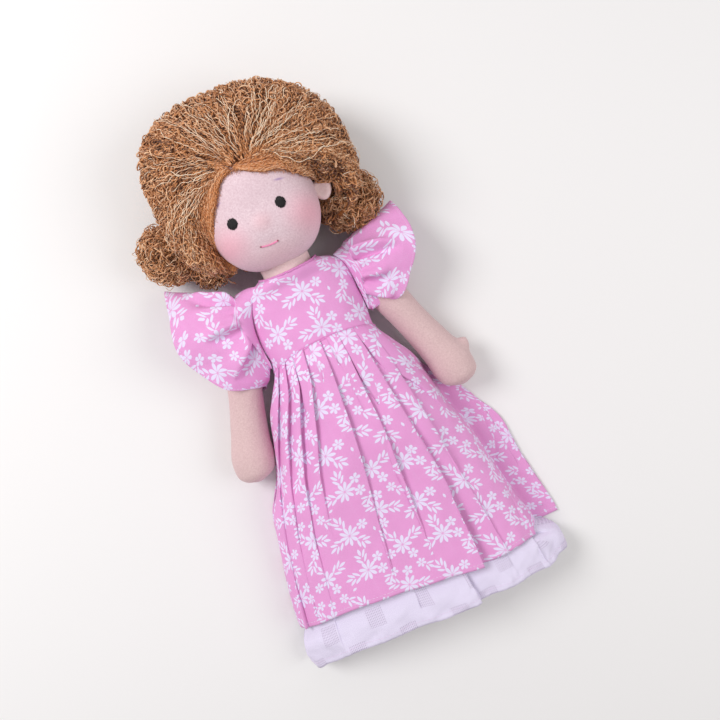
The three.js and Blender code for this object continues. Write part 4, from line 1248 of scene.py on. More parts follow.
def garment(name, grid, uv, wall, material, slot, replaced):
    made = thicken(surface(name, grid, uv, loop=True, flip=True), wall)
    dress(made, material, slot, None, replaced)
    hip_blend(made)
    return made


def hip_blend(piece):
    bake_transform(piece)


back_places = [0.03, 0.09, 0.15, 0.21, 0.79, 0.85, 0.91, 0.97]
skirt_backs = list(zip(back_places, np.random.default_rng(31).uniform(0.7, 1.1, 8)))
skirt_downs = np.linspace(0, 1, 122)
skirt_grid, skirt_uv, SKIRT_WIDTH = pleated(
    skirt_downs, skirt_base, FRONT_PLEATS, skirt_backs, skirt_y, (0.8, 2.4), 1.25
)
loosen = ease(skirt_downs, 0.05, 0.5)[:, None]
uneven = ripple(skirt_grid * [1, 0.55, 1], 41, 34.0) * 0.7 + ripple(skirt_grid * [1, 0.6, 1], 42, 13.0) * 0.22
skirt_grid += grid_normals(skirt_grid, True) * (uneven * loosen)[..., None]
skirt_grid[..., 2] = np.maximum(skirt_grid[..., 2], 0.5)
skirt_drop = skirt_grid[0, :, 1] - skirt_grid[-1, :, 1] + HEM_DIP
skirt_uv[..., 1] = -skirt_downs[:, None] * np.append(skirt_drop, skirt_drop[0])
skirt_uv += np.array([7.0, 27.0])
skirt = garment("skirt_cloth", skirt_grid, skirt_uv, CLOTH_WALL, cotton, "dress_print", "skirt")


def hem_stitches(name, grid, row, stitch, step, radius, slot):
    """Short threads along a row of a looped grid, which need not be whole: out of the cloth, along, and in again."""
    low = int(row)
    normals = grid_normals(grid, True)
    points, normals = (mix(g[low], g[low + 1], row - low)[np.arange(-len(g[0]), 1)] for g in (grid, normals))
    run = run_up(lengths(points))
    at = np.arange(0, run[-1] - stitch, step)[:, None] + stitch * np.linspace(0, 1, 6)
    spot, out = (follow(v, run, at) for v in (points, normals))
    bow = 0.25 * np.sin(np.linspace(0, math.pi, 6)) ** 0.5 - 0.12
    return dress(tubes(name, spot + unit(out) * bow[:, None], radius, sides=5), hem_thread, slot)


hem_row = 121 - 3.4 / (SKIRT_FLAT / MM / 121)
hip_blend(hem_stitches("skirt_hem_stitches", skirt_grid, hem_row, 2.0, 2.9, 0.17, "dress_trim"))
for side, grid in sleeve_grids.items():
    name = f"sleeve_{side}_hem_stitches"
    sleeve_blend(hem_stitches(name, grid, len(grid) - 3.4, 1.7, 2.5, 0.15, "dress_trim"), side)


# The petticoat.
PETTICOAT_TOP, PETTICOAT_LENGTH, PETTICOAT_FLAT = 48.2, 205.0, 0.215
PETTICOAT_LOWEST = 1.2


def petticoat_base(down, angle):
    y = PETTICOAT_TOP - PETTICOAT_LENGTH * down
    width, _, draw, height, edge = smooth(SKIRT, (WAIST_Y - y) / SKIRT_LENGTH)[0]
    inset = mix(1.9, 6.6, float(ease(down, 0.0, 0.14)))
    beyond = max(0.0, (WAIST_Y - SKIRT_LENGTH - HEM_DIP) - y)
    drawn = BRIM * draw * (1 - 0.85 * float(ease(beyond, 0, 16))) * np.maximum(0, np.cos(angle))
    half = mix(SKIRT_WAIST_HALF, SKIRT_HALF_WIDTH, width) - inset * 0.8 + min(8.0, beyond) - drawn
    high = mix(TOE_HEIGHT, FRONT_HEIGHT, height) - inset * (1 - 0.5 * ease(beyond, 0, 12))
    low = mix(2.5, 1.4, float(ease(beyond, 2, 14)))
    x, z = dome(angle, half, high, max(high * edge, low + 1.6), low)
    return x, np.maximum(z, low)


def petticoat_y(down, angle):
    wobble = 0.9 * np.sin(6 * angle + 0.6) + 0.6 * np.sin(15 * angle)
    hem = hem_y(PETTICOAT_HEM, PETTICOAT_TOP - PETTICOAT_LENGTH, angle)
    return mix(PETTICOAT_TOP, hem, down) + wobble * down**3


def outward(grid):
    """Directions out of a garment's rows, as if each row was an ellipse."""
    x, z = grid[..., 0], grid[..., 2]
    middle = (z.max(1) + z.min(1))[:, None] / 2
    wide, tall = np.abs(x).max(1)[:, None], np.ptp(z, axis=1)[:, None] / 2
    return unit(np.stack([x / wide**2, 0 * x, (z - middle) / tall**2], 2))


def tucked_under(grid, normal, cover, clearance=1.0, depth=7.0):
    """How far each point of a grid moves in, against its normal, to lie under the cover's innermost layer."""
    rows, columns = cover.shape[:2]
    cells = grid_cells(rows, columns, True)[:, ::-1]
    faces = cells[..., 0] * columns + cells[..., 1] % columns
    tree = BVHTree.FromPolygons(cover.reshape(-1, 3).tolist(), faces.tolist())
    move = np.zeros(grid.shape[:2])
    for place in np.ndindex(move.shape):
        point, out = Vector(grid[place]), Vector(normal[place])
        start, left = point - out * depth, 2 * depth
        while left > 0:
            hit, facing, _, far = tree.ray_cast(start, out, left)
            if hit is None:
                break
            if facing.dot(out) > 0.1:
                move[place] = max(0.0, clearance - (hit - point).dot(out))
                break
            start = hit + out * 0.01
            left -= far + 0.01
    wide = move
    for axis, reach in ((0, 2), (1, 3)):
        wide = np.max([np.roll(wide, k, axis) for k in range(-reach, reach + 1)], axis=0)
    for _ in range(3):
        for axis in (0, 1):
            wide = (np.roll(wide, 1, axis) + 2 * wide + np.roll(wide, -1, axis)) / 4
    return np.maximum(move, wide)


PETTICOAT_PLEATS = [
    ([-32, -42, -56, -66, -74, -80, -84], [0.6, 1.4, 1.6, 1.6, 1.4, 0.9, 0.7], 1.0),
    ([-18, -24, -34, -44, -50, -54, -56], [0.6, 1.4, 1.6, 1.6, 1.2, 0.7, 0.5], 0.0),
    ([0, 0, -2, -6, -12, -16, -18], [0.6, 1.4, 1.6, 1.6, 1.2, 0.7, 0.5], 0.0),
    ([15, 17, 18, 20, 21, 23, 25], [0.6, 1.4, 1.6, 1.8, 2.6, 3.6, 4.4], 14.0),
    ([28, 34, 42, 48, 54, 58, 60], [0.6, 1.4, 1.6, 1.6, 1.2, 0.8, 0.6], 0.0),
    ([35, 45, 57, 68, 76, 82, 86], [0.6, 1.4, 1.6, 1.6, 1.4, 1.2, 1.2], 1.5),
]
petticoat_backs = [(p, 0.9) for p in (0.05, 0.13, 0.21, 0.79, 0.87, 0.95)]
petticoat_downs = np.linspace(0, 1, 116)
petti_grid, petti_uv, PETTICOAT_WIDTH = pleated(
    petticoat_downs, petticoat_base, PETTICOAT_PLEATS, petticoat_backs, petticoat_y, (1.4, 4.6), 1.45
)
petti_uneven = ripple(petti_grid, 51, 24.0) * 1.2 + ripple(petti_grid, 52, 8.0) * 0.35
petti_uneven *= 0.25 + 0.75 * ease(petticoat_downs, 0.86, 0.97)[:, None]
petti_grid += grid_normals(petti_grid, True) * petti_uneven[..., None]
petti_grid[..., 2] = np.maximum(petti_grid[..., 2], PETTICOAT_LOWEST)
petti_out = outward(petti_grid)
petti_grid -= petti_out * tucked_under(petti_grid, petti_out, skirt_grid)[..., None]
petti_grid[..., 2] = np.maximum(petti_grid[..., 2], PETTICOAT_LOWEST)
petti_uv[..., 1] = -petticoat_downs[:, None] * PETTICOAT_LENGTH


def openwork_cotton(pitch=41.0, square=13.4):
    """White cotton with staggered squares of small open stitches, whose holes are coloured dark as painted shade seen
    through them.
    """
    paint = Paint("openwork_cotton", 0.8, 0.12, 0.2)
    cloth = paint.cloth()
    x, y, _ = paint.split(cloth)
    grain = paint.noise(cloth, 1.8, 3.0)
    near, far = [], []
    for along in (x, y):
        place = paint.math("PINGPONG", along, pitch / 2)
        near.append(paint.band(place, square / 2 + 0.15, square / 2 - 0.15))
        far.append(paint.band(place, (pitch - square) / 2 - 0.15, (pitch - square) / 2 + 0.15))
    different = paint.math("MAXIMUM", paint.times(*near), paint.times(*far))
    open_x = paint.band(paint.math("PINGPONG", x, 0.67), 0.33, 0.45)
    open_y = paint.band(paint.math("PINGPONG", y, 0.82), 0.22, 0.34)
    hole = paint.times(paint.times(open_x, open_y), different)
    base = paint.mix(paint.band(grain, 0.3, 0.7), srgb(218, 208, 234), srgb(238, 230, 250))
    base = paint.mix(paint.times(different, 0.3), base, srgb(226, 214, 236))
    # The holes are painted a dark grey-violet: painted shade seen through the open stitches.
    colour = paint.mix(paint.times(hole, 0.5), base, srgb(150, 132, 166))
    height = paint.math("SUBTRACT", woven(paint, cloth, 0.6), paint.times(hole, 1.6))
    return paint.finish(colour, height, 0.4, 0.2)


openwork = openwork_cotton()
petticoat = garment("petticoat_cloth", petti_grid, petti_uv, 0.4, openwork, "petticoat_cotton", "petticoat")
hem_row = 115 - 4.2 / (PETTICOAT_LENGTH / 115)
hip_blend(hem_stitches("petticoat_hem_stitches", petti_grid, hem_row, 1.6, 2.4, 0.14, "petticoat_cotton"))


# The hair.
HAIR_AT = np.array([5.5, 189.5, 41.5])
HAIR_HALF = np.array([70.5, 59.0, 42.0])
RIM_POWER = 2.3
HEM_Y = 138.5
EAR_AT = np.array([47.0, 160.5])
EAR_CLEAR = 7.0  # no short fibres closer to the ear's middle than this
MASS_SHARE = 0.955  # the size of the mass under the locks
MASS_LOWEST, YARN_LOWEST, CURL_LOWEST, WOUND_LOWEST = 1.2, 0.8, 1.4, 1.6
SPACING = 0.5  # between the points of a yarn
DETAIL = 1.0  # share of the yarns that is made

# The face's opening: distance of the hairline from its middle, by bearing in degrees.
HOLE_AT = np.array([-2.0, 150.0])
HOLE = [[-90, 42], [-60, 42], [-35, 43], [-15, 48], [0, 55], [12, 57.5], [20, 51], [30, 45.2], [48, 39.4],
        [70, 35.2], [84, 37.0], [93, 40.0], [103, 41.0], [119, 37.8], [135, 35.4], [154, 35.6], [168, 36],
        [184, 35.5], [201, 35], [225, 37], [247, 40], [270, 42]]
# Where the locks come out, by the bearing they set off on.
ROOTS = [[-70, 17, 190.5], [-30, 13, 193], [10, 9.5, 195], [50, 8, 196.5], [90, 3, 197.5], [135, -9, 195.5],
         [180, -15.5, 192], [215, -21, 188], [250, -25, 183]]
POLE = np.array([4.0, 196.0])  # where the locks of the back come out


def outline_power(x, y):
    """The outline is boxy at the doll's right and under the middle, and round at the upper left."""
    return mix(3.2, mix(3.0, 2.06, ease(y, 186, 193)), ease(x, -20, 25))


def plan_share(x, y):
    power = outline_power(x, y)
    dx, dy = np.abs((x - HAIR_AT[0]) / HAIR_HALF[0]), np.abs((y - HAIR_AT[1]) / HAIR_HALF[1])
    return (dx**power + dy**power) ** (1 / power)


def hole_reach(bearing):
    """The hairline's distance from the opening's middle. bearing is in radians."""
    degrees = (np.degrees(bearing) + 90) % 360 - 90
    return smooth(HOLE, degrees.ravel())[:, 0].reshape(degrees.shape)


def hole_far(x, y):
    """Distance out of the face's opening, in millimetres."""
    dx, dy = np.asarray(x - HOLE_AT[0]), np.asarray(y - HOLE_AT[1])
    return np.hypot(dx, dy) - hole_reach(np.arctan2(dy, dx))


def skin_height(x, y, half_x, half_y, least):
    """Height of the head's front, as a dome over an oval of those half sizes."""
    share = 1 - (x / half_x) ** 2 - ((y - HEAD_Y) / half_y) ** 2
    return HEAD_Z + HEAD_HALF[2] * np.sqrt(np.clip(share, least, 1))


def hair_top(x, y):
    """Height of the hair's upper side: a dome that comes down to the skin at the hairline."""
    share = np.clip(plan_share(x, y), 0, 0.9995)
    high = HAIR_AT[2] + HAIR_HALF[2] * (1 - share**RIM_POWER) ** (1 / RIM_POWER)
    skin = skin_height(x, y, 43.5, 50, 0.0)
    # Below the ear the hair leaves the cheek free and stays under the head's side.
    freed = ease(x, 20, 36) * ease(-y, -157, -149)
    near = np.minimum(high, mix(np.maximum(skin + 1.3, 43), 16, freed))
    return mix(near, high, ease(hole_far(x, y), -2, 15) ** 0.8)


def on_hair(plan):
    """The places on the hair's upper side over places in plan."""
    return np.concatenate([plan, hair_top(plan[:, 0], plan[:, 1])[:, None]], 1)


def hair_out(points):
    """Directions square to the hair's surface."""
    return unit((points - HAIR_AT) / HAIR_HALF**2)


def clear_of_face(plan, room):
    """Moves plan places out of the face's opening."""
    off = plan - HOLE_AT
    far = np.maximum(np.linalg.norm(off, axis=-1), 1e-6)
    need = hole_reach(np.arctan2(off[..., 1], off[..., 0])) + room
    return HOLE_AT + off * np.maximum(1, need / far)[..., None]


def rim_point(turn, over):
    """A place on the hair's outline, at least so far over the hem of the hair."""
    c, s = math.cos(turn), math.sin(turn)
    power = float(outline_power(HAIR_AT[0] + HAIR_HALF[0] * c, HAIR_AT[1] + HAIR_HALF[1] * s))
    far = (abs(c) ** power + abs(s) ** power) ** (-1 / power)
    x, y = HAIR_AT[:2] + HAIR_HALF[:2] * far * np.array([c, s])
    return np.array([x, max(y, HEM_Y + over)])


def rim_side(end, deep, least=0.0, high=HAIR_HALF[2]):
    """Places down the hair's side from one of its outline, by shares of its height."""
    reach = np.maximum(least, (1 - np.abs(deep) ** RIM_POWER) ** (1 / RIM_POWER))
    return np.concatenate([HAIR_AT[:2] + (end - HAIR_AT[:2]) * reach, HAIR_AT[2] - high * deep], 1)


def resample(path, count):
    """The line with that count of even points, and its length."""
    run = run_up(lengths(path))
    return follow(path, run, np.linspace(0, run[-1], count)), run[-1]


def crown_path(turn, start, room, sway, drop):
    """A lock's line from near the parting, over the dome, round the rim and under."""
    end = rim_point(turn, 2)
    root = smooth(ROOTS, math.degrees(turn))[0]
    low = np.clip((190 - end[1]) / 50, 0, 1)
    side = math.copysign(1, end[0] - root[0])
    middle = (root + end) / 2 + np.array([side * 9, 17]) * low
    t = np.linspace(start, 1, 90)[:, None]
    plan = (1 - t) ** 2 * root + 2 * t * (1 - t) * middle + t**2 * end
    across = unit(np.array([-(end - root)[1], (end - root)[0]]))
    plan = plan + across * (sway * np.sin(t * 4.6 + turn * 7) * ease(t, 0, 0.4))
    return np.concatenate([on_hair(clear_of_face(plan, room)), rim_side(end, np.linspace(0.04, drop, 26)[:, None])])


def lock_yarns(path, rng, count, spread, lift=0.0, kink=0.8, pitch=3.0, rise=8.0, out=hair_out):
    """Crinkled yarns that wander about one line, and the tone along each: random, and lighter where a yarn stands
    higher and darker where it lies deeper, as painted highlight and shade.
    """
    steps = max(12, int(lengths(path).sum() / SPACING))
    line, long = resample(path, steps)
    run = np.linspace(0, long, steps)
    along = unit(np.gradient(line, axis=0))
    normal = out(line)
    normal = unit(normal - (normal * along).sum(1, keepdims=True) * along)
    side = np.cross(along, normal)
    wide = spread * mix(0.45, 1.0, ease(run, 0, 22.0))
    bury = -2.6 * (1 - ease(run, 0, rise)) - 1.5 * ease(run, long - 5, long)
    shade = rng.normal(0.5, 0.1)
    yarns, tones = [], []
    for _ in range(count):
        slow = wander(rng, 2, steps, rng.uniform(5, 9) / SPACING)
        quick = wander(rng, 2, steps, pitch * 0.42 / SPACING)
        local = pitch * rng.uniform(0.8, 1.3)
        begin = rng.uniform(0, TURN)
        speed = 1 + 0.6 * wander(rng, 1, steps, 5 / SPACING)[0]
        turn = begin + TURN * np.cumsum(long / steps * speed) / local
        small = kink * rng.uniform(0.6, 1.3) * (0.75 + 0.5 * wander(rng, 1, steps, 6 / SPACING)[0])
        across = wide * (slow[0] * 1.5 + rng.uniform(-0.6, 0.6)) + small * (0.7 * np.cos(turn) + 0.8 * quick[0])
        above = wide * 0.62 * slow[1] + small * (0.7 * np.sin(turn) + 0.6 * quick[1])
        yarns.append(line + across[:, None] * side + (above + lift + bury)[:, None] * normal)
        # The tone rises with the yarn's height above the lock's line (slow[1], sin(turn), quick[1]): painted highlight
        # on top and painted shade beneath, over a random tone.
        tones.append(shade + 0.17 * slow[1] + 0.22 * np.sin(turn) + 0.12 * quick[1] + rng.normal(0, 0.13))
    return yarns, tones


def on_head(piece, material, slot="hair_yarn", *replaced):
    return dress(piece, material, slot, "head", *replaced)


class Skein:
    """Yarns and the tones along them, painted highlight and shade included, gathered for a few pieces."""

    def __init__(self):
        self.yarns, self.tones = [], []

    def add(self, made, tint=0.0, low=-np.inf):
        """Takes in yarns, lifted to a height where they are lower, and their tones."""
        yarns, tones = made
        self.yarns += [np.maximum(yarn, [-np.inf, -np.inf, low]) for yarn in yarns]
        self.tones += [tone + tint for tone in tones]

    def lay(self, name, radius, material, tint=0.0, limit=190000, sides=3):
        """Lays tubes on the head, in sets with no more triangles than the limit. A set shares one count of points."""
        sets, total = [[]], 0
        for i in sorted(range(len(self.yarns)), key=lambda i: len(self.yarns[i])):
            size = len(self.yarns[i]) * sides * 2
            if total + size > limit:
                sets.append([])
                total = 0
            sets[-1].append(i)
            total += size
        for number, members in enumerate(sets):
            steps = int(np.mean([len(self.yarns[i]) for i in members]))
            paths, tones = [], []
            for i in members:
                index = np.arange(len(self.yarns[i]))
                at = np.linspace(0, index[-1], steps)
                paths.append(follow(self.yarns[i], index, at))
                tones.append(np.interp(at, index, self.tones[i] + tint))
            ends = np.minimum(1, np.minimum(np.arange(steps), np.arange(steps)[::-1]) / 3 + 0.3)
            made = tubes(f"{name}_{number + 1}", np.array(paths), radius * ends[None], sides, np.array(tones))
            on_head(made, material)


def wool(name, dark, base, light, red):
    """Yarn in the tones of its points, from dark through base to light, redder beside the face. The tones carry painted
    highlight and shade, so the light colour is partly painted highlight and the dark colour partly painted shade.
    """
    paint = Paint(name, 0.72, 0.35, 0.25)
    place = paint.place()
    tone = paint.node("ShaderNodeAttribute", attribute_name="tone").outputs["Fac"]
    tone = paint.math("ADD", tone, paint.math("MULTIPLY_ADD", paint.noise(place, 0.11), 0.5, -0.25))
    fine = paint.math("ADD", tone, paint.math("MULTIPLY_ADD", paint.noise(place, 2.2), 0.34, -0.17))
    # Dark and light come from the tone: partly the yarn's random tone, partly the painted shade and highlight that the
    # tone carries.
    colour = paint.mix(paint.band(fine, 0.12, 0.5), dark, base)
    colour = paint.mix(paint.band(fine, 0.5, 0.98), colour, light)
    colour = paint.mix(paint.band(tone, 1.4, 2.0), colour, light)
    x, y, z = paint.split(place)
    dx = paint.times(paint.math("SUBTRACT", x, -3.0), 1 / 37.0)
    dy = paint.times(paint.math("SUBTRACT", y, 149.0), 1 / 41.0)
    near = paint.times(paint.band(paint.far(dx, dy), 1.26, 1.04, 0.0, 0.42), paint.band(z, 38.0, 50.0))
    return paint.finish(paint.mix(near, colour, red), paint.noise(place, 3.5), 0.5, 0.15)


hair_wool = wool("hair_wool", srgb(96, 48, 22), srgb(208, 140, 88), srgb(246, 202, 162), srgb(212, 132, 78))
pale_wool = wool("pale_wool", srgb(206, 148, 106), srgb(240, 200, 164), srgb(254, 232, 206), srgb(240, 182, 136))
# The mass is the same yarn as the locks, coloured darker brown: partly its own tone, partly painted shade deep between
# and under the locks.
hair_mass = grainy(
    "hair_mass", (96, 50, 24), (176, 108, 62), (0.55, 5.0, 0.75), (0.95, 0.1, 0.1), (1.0, 1.2), (0.35, 0.65)
)


def ray_to(start, direction, inside):
    """How far a place can go before it leaves."""
    low, high = 0.0, 200.0
    for _ in range(40):
        middle = (low + high) / 2
        if inside(start + direction * middle):
            low = middle
        else:
            high = middle
    return low


def under_hair():
    """The dense mass under the locks: from the hairline over the rim and under the head."""
    middle = np.array([HOLE_AT[0], HEM_Y])
    columns = []
    for turn in np.linspace(0, math.pi, 121):
        direction = np.array([math.cos(turn), math.sin(turn)])
        inner = ray_to(middle, direction, lambda p: hole_far(*p) < 2.2)
        outer = ray_to(middle, direction, lambda p: plan_share(*p) < MASS_SHARE)
        r = mix(inner, outer, 1 - (1 - np.linspace(0, 1, 60)) ** 1.4)
        over = on_hair(middle + r[:, None] * direction)
        over[:, 2] += 1.2 * ease(r - inner, 0, 10) - 3.4
        under = rim_side(over[-1, :2], np.linspace(-0.1, 0.9, 30)[:, None], high=HAIR_HALF[2] - 2.5)
        share = np.linspace(0, 1, 24)[1:, None]
        last = np.concatenate([mix(under[-1, :2], middle + [0, 8], share), np.full((23, 1), 3.2)], 1)
        columns.append(resample(np.concatenate([over, under, last]), 150)[0])
    grid = np.array(columns).transpose(1, 0, 2)
    bump = ripple(grid, 61, 10.0) * 0.6 + ripple(grid, 62, 4.5) * 0.35
    grid += grid_normals(grid) * bump[..., None] * ease(np.arange(150), 2, 14)[:, None, None]
    grid[..., 2] = np.maximum(grid[..., 2], MASS_LOWEST)
    return grid


on_head(thicken(surface("hair_mass_crown", under_hair()), 1.0, 0.0), hair_mass, "hair_yarn", "hair_crown")

rng = np.random.default_rng(77)
locks = Skein()
STARTS = [0.0, 0.3, 0.12, 0.5, 0.22, 0.42, 0.05, 0.6]  # how far from their roots the locks come out
for number, turn in enumerate(np.radians(np.linspace(-60, 240, int(300 * DETAIL)))):
    start = STARTS[number % 8] + rng.uniform(0, 0.12)
    turn, room, sway = turn + rng.normal(0, 0.02), rng.uniform(0.4, 4.0), rng.normal(0, 2.6)
    path = crown_path(turn, start, room, sway, rng.uniform(0.6, 0.93))
    rise = 2.5 if start < 0.15 else 8.0
    locks.add(lock_yarns(path, rng, 4, rng.uniform(1.6, 2.6), rng.uniform(-1.2, 1.5), rise=rise))
# Locks that run along the hairline, thin and close to the skin.
for first, last in ((196, 244), (-62, -14)):
    for turn in np.radians(np.linspace(first, last, int(44 * DETAIL))):
        room = rng.uniform(-0.6, 2.4)
        turn, start, sway = turn + rng.normal(0, 0.02), rng.uniform(0.0, 0.2), rng.normal(0, 0.4)
        path = crown_path(turn, start, room, sway, rng.uniform(0.3, 0.7))
        locks.add(lock_yarns(path, rng, 4, 0.8, rng.uniform(-0.2, 0.6), 0.42, 3.4, 3.0), 0.02)


def fringe(first, last, room, spread, kink=0.6):
    """Adds yarns that follow the hairline from one bearing to another, some way out of it."""
    bearing = np.radians(np.linspace(first, last, 70))
    t = np.linspace(0, 1, 70)
    out = hole_reach(bearing) + room * ease(t, -0.15, 0.35) + 0.25 + rng.uniform(-1, 3) * t**3
    path = on_hair(HOLE_AT + out[:, None] * np.stack([np.cos(bearing), np.sin(bearing)], 1))
    made = lock_yarns(path, rng, 3, spread, rng.uniform(-0.9, 0.6), kink, 3.4, 2.0)
    locks.add(made, rng.normal(0.04, 0.16))


# Fringes beside the face: from the parting to the ear, and down the doll's right.
for number in range(int(60 * DETAIL)):
    room = 9.5 * (number / (60 * DETAIL)) ** 1.4
    fringe(rng.uniform(84, 97), rng.uniform(10, 34), room, 0.9, 0.4)
    fringe(rng.uniform(96, 128), rng.uniform(168, 202), room * 0.8, 0.8)
# The roots round the parting.
for degrees in np.linspace(20, 160, int(70 * DETAIL)):
    path = crown_path(math.radians(degrees + rng.normal(0, 6)), rng.uniform(0, 0.04), 1.0, 0.0, 0.1)
    plan = path[: rng.integers(22, 45), :2] + [rng.uniform(-4, 4), rng.uniform(-5.5, -0.5)]
    locks.add(lock_yarns(on_hair(plan), rng, 3, 0.8, rng.uniform(-0.4, 0.3), 0.45, rise=1.5), -0.05)
# Short locks over the hairline, at the slant of the locks behind them.
for bearing in np.linspace(98, 184, int(100 * DETAIL)):
    fringe(bearing, bearing + rng.uniform(14, 34), rng.uniform(3, 12), 0.8)
# The back, from its middle out to the rim.
for turn in np.radians(np.linspace(-89, 269, int(140 * DETAIL))):
    end = rim_point(turn + rng.normal(0, 0.02), 1)
    t = np.linspace(rng.uniform(0, 0.45), 1, 60)[:, None]
    low = np.concatenate([mix(POLE, HAIR_AT[:2] + (end - HAIR_AT[:2]) * 0.9, t), 2.6 + 4.0 * t**6], 1)
    drop = mix(0.76, 0.35, float(ease(abs(end[0] - HAIR_AT[0]), 18, 32)))
    path = np.concatenate([low, rim_side(end, np.linspace(0.88, drop, 20)[:, None], 0.9)])
    locks.add(lock_yarns(path, rng, 4, 1.8, rise=3.0), -0.05, YARN_LOWEST)
locks.lay("hair_locks", 0.42, hair_wool, -0.13)


def loop_yarns(foot, out, radius, turns, rng, kink=0.42):
    """One curl of yarn that stands on the hair."""
    a = np.linspace(0, TURN * turns, 60)[:, None]
    other = unit(np.cross(out, rng.normal(size=3)))
    shrink = mix(1.0, rng.uniform(0.5, 0.9), a / a[-1])
    path = foot + radius * shrink * ((0.7 - np.cos(a)) * out * 0.7 + np.sin(a) * other)
    path += np.cross(out, other) * radius * 0.35 * a / TURN - out * 0.6
    path[:, 2] = np.maximum(path[:, 2], CURL_LOWEST)
    return lock_yarns(path, rng, 2, 0.35, 2.0, kink, 2.8, 2.0, lambda p: np.repeat(out[None], len(p), 0))


# Curls all over, more and larger towards the outline.
rng = np.random.default_rng(79)
curls = Skein()
for _ in range(int(620 * DETAIL)):
    line = crown_path(math.radians(rng.uniform(-50, 232)), 0.1, 3.0, 0.0, 0.35)
    at = rng.uniform(0.25, 1.0) ** 0.7
    spot = line[int(at * (len(line) - 1))]
    out = unit(hair_out(spot) + rng.normal(0, 0.35, 3))
    radius = rng.uniform(1.2, 2.2) * mix(0.8, 1.35, at)
    curls.add(loop_yarns(spot, out, radius, rng.uniform(0.7, 1.6), rng), 0.04)
curls.lay("hair_curls", 0.4, hair_wool)

# Pale threads that lie on top.
rng = np.random.default_rng(78)
threads = Skein()
for turn in np.radians(rng.uniform(-42, 232, int(96 * DETAIL))):
    start, room, sway = rng.uniform(0.0, 0.35), rng.uniform(1.5, 6), rng.normal(0, 3.5)
    path = crown_path(turn, start, room, sway, rng.uniform(0.1, 0.5))
    path = path[: int(len(path) * rng.uniform(0.3, 0.95))]
    threads.add(lock_yarns(path, rng, 1, 1.2, rng.uniform(1.6, 3.4), 0.36, 4.6, 3.0), 0.12)
threads.lay("hair_pale", 0.27, pale_wool)

BUNCHES = {
    "hair_bunch_right": ((-71.0, 165.5, 24.5), (20.5, 20.5, 21.5), 110),
    "hair_curl_right": ((-49.0, 148.0, 21.5), (15.5, 15.0, 15.5), 60),
    "hair_bunch_left": ((62.0, 147.5, 23.0), (22.5, 20.5, 20.5), 110),
}
CORE_INSET = 3.2
# Curls that stand on a bunch: count for each wound yarn, reach, radii, turns, kink, yarns kept, tint and thickness.
STANDING = {
    "loops": (1.6, 0.97, (1.4, 3.2), (0.8, 1.7), 0.42, 2, 0.04, 0.31, hair_wool),
    "pale": (0.28, 0.99, (2.4, 5.0), (0.4, 0.9), 0.3, 1, 0.12, 0.24, pale_wool),
}


def bunch(name, at, half, count, rng):
    """A ball of curls: kinky yarns wound about a soft core, mostly round the line of sight."""
    at, half = np.array(at), np.array(half)
    core = globe(np.linspace(-math.pi / 2 + 0.06, math.pi / 2 - 0.06, 26), angles(40))[..., [0, 2, 1]]
    points = at + core * (half - CORE_INSET)
    points += core * (ripple(points, 63, 8.0) * 0.8)[..., None]
    on_head(loft(f"{name}_mass", points), hair_mass, "hair_yarn", name)
    wound = Skein()
    t = np.linspace(0, 1, 70)[:, None]
    for _ in range(int(count * DETAIL)):
        axis = unit(np.array([rng.normal(0, 0.7), rng.normal(0, 0.7), rng.normal(0.5, 0.7)]))
        first = unit(np.cross(axis, rng.normal(size=3)))
        second = np.cross(axis, first)
        high = rng.uniform(-0.55, 0.95)
        sweep = rng.uniform(0.3, 0.95) * TURN
        spiral = high + rng.uniform(-0.3, 0.3) * t
        turn = sweep * t + rng.uniform(0, TURN)
        across = np.sqrt(np.clip(1 - spiral**2, 0.02, 1))
        direction = across * (np.cos(turn) * first + np.sin(turn) * second) + spiral * axis
        size = rng.uniform(0.84, 1.02)
        path = at + direction * half * size
        path += 1.8 * np.sin(t * rng.uniform(9, 16) + rng.uniform(0, TURN)) * axis
        path[:, 2] = np.maximum(path[:, 2], WOUND_LOWEST)
        made = lock_yarns(path, rng, 4, 1.5, 0.0, 0.85, 2.8, 4.0, lambda p: unit((p - at) / half**2))
        # Yarns wound deeper in the ball (smaller size) are tinted darker: painted shade inside the ball.
        wound.add(made, -0.25 * (1.02 - size) / 0.18, YARN_LOWEST)
    wound.lay(f"{name}_wound", 0.35, hair_wool)
    for kind, (share, reach, radii, turns, kink, kept, tint, thick, material) in STANDING.items():
        standing = Skein()
        for _ in range(int(count * share * DETAIL)):
            out = rng.normal(size=3)
            out[2] = abs(out[2]) * 0.9
            out = unit(out)
            yarns, tones = loop_yarns(
                at + out * half * reach, out, rng.uniform(*radii), rng.uniform(*turns), rng, kink
            )
            standing.add((yarns[:kept], tones[:kept]), tint)
        standing.lay(f"{name}_{kind}", thick, material)


for number, (name, shape) in enumerate(BUNCHES.items()):
    bunch(name, *shape, np.random.default_rng(90 + number))

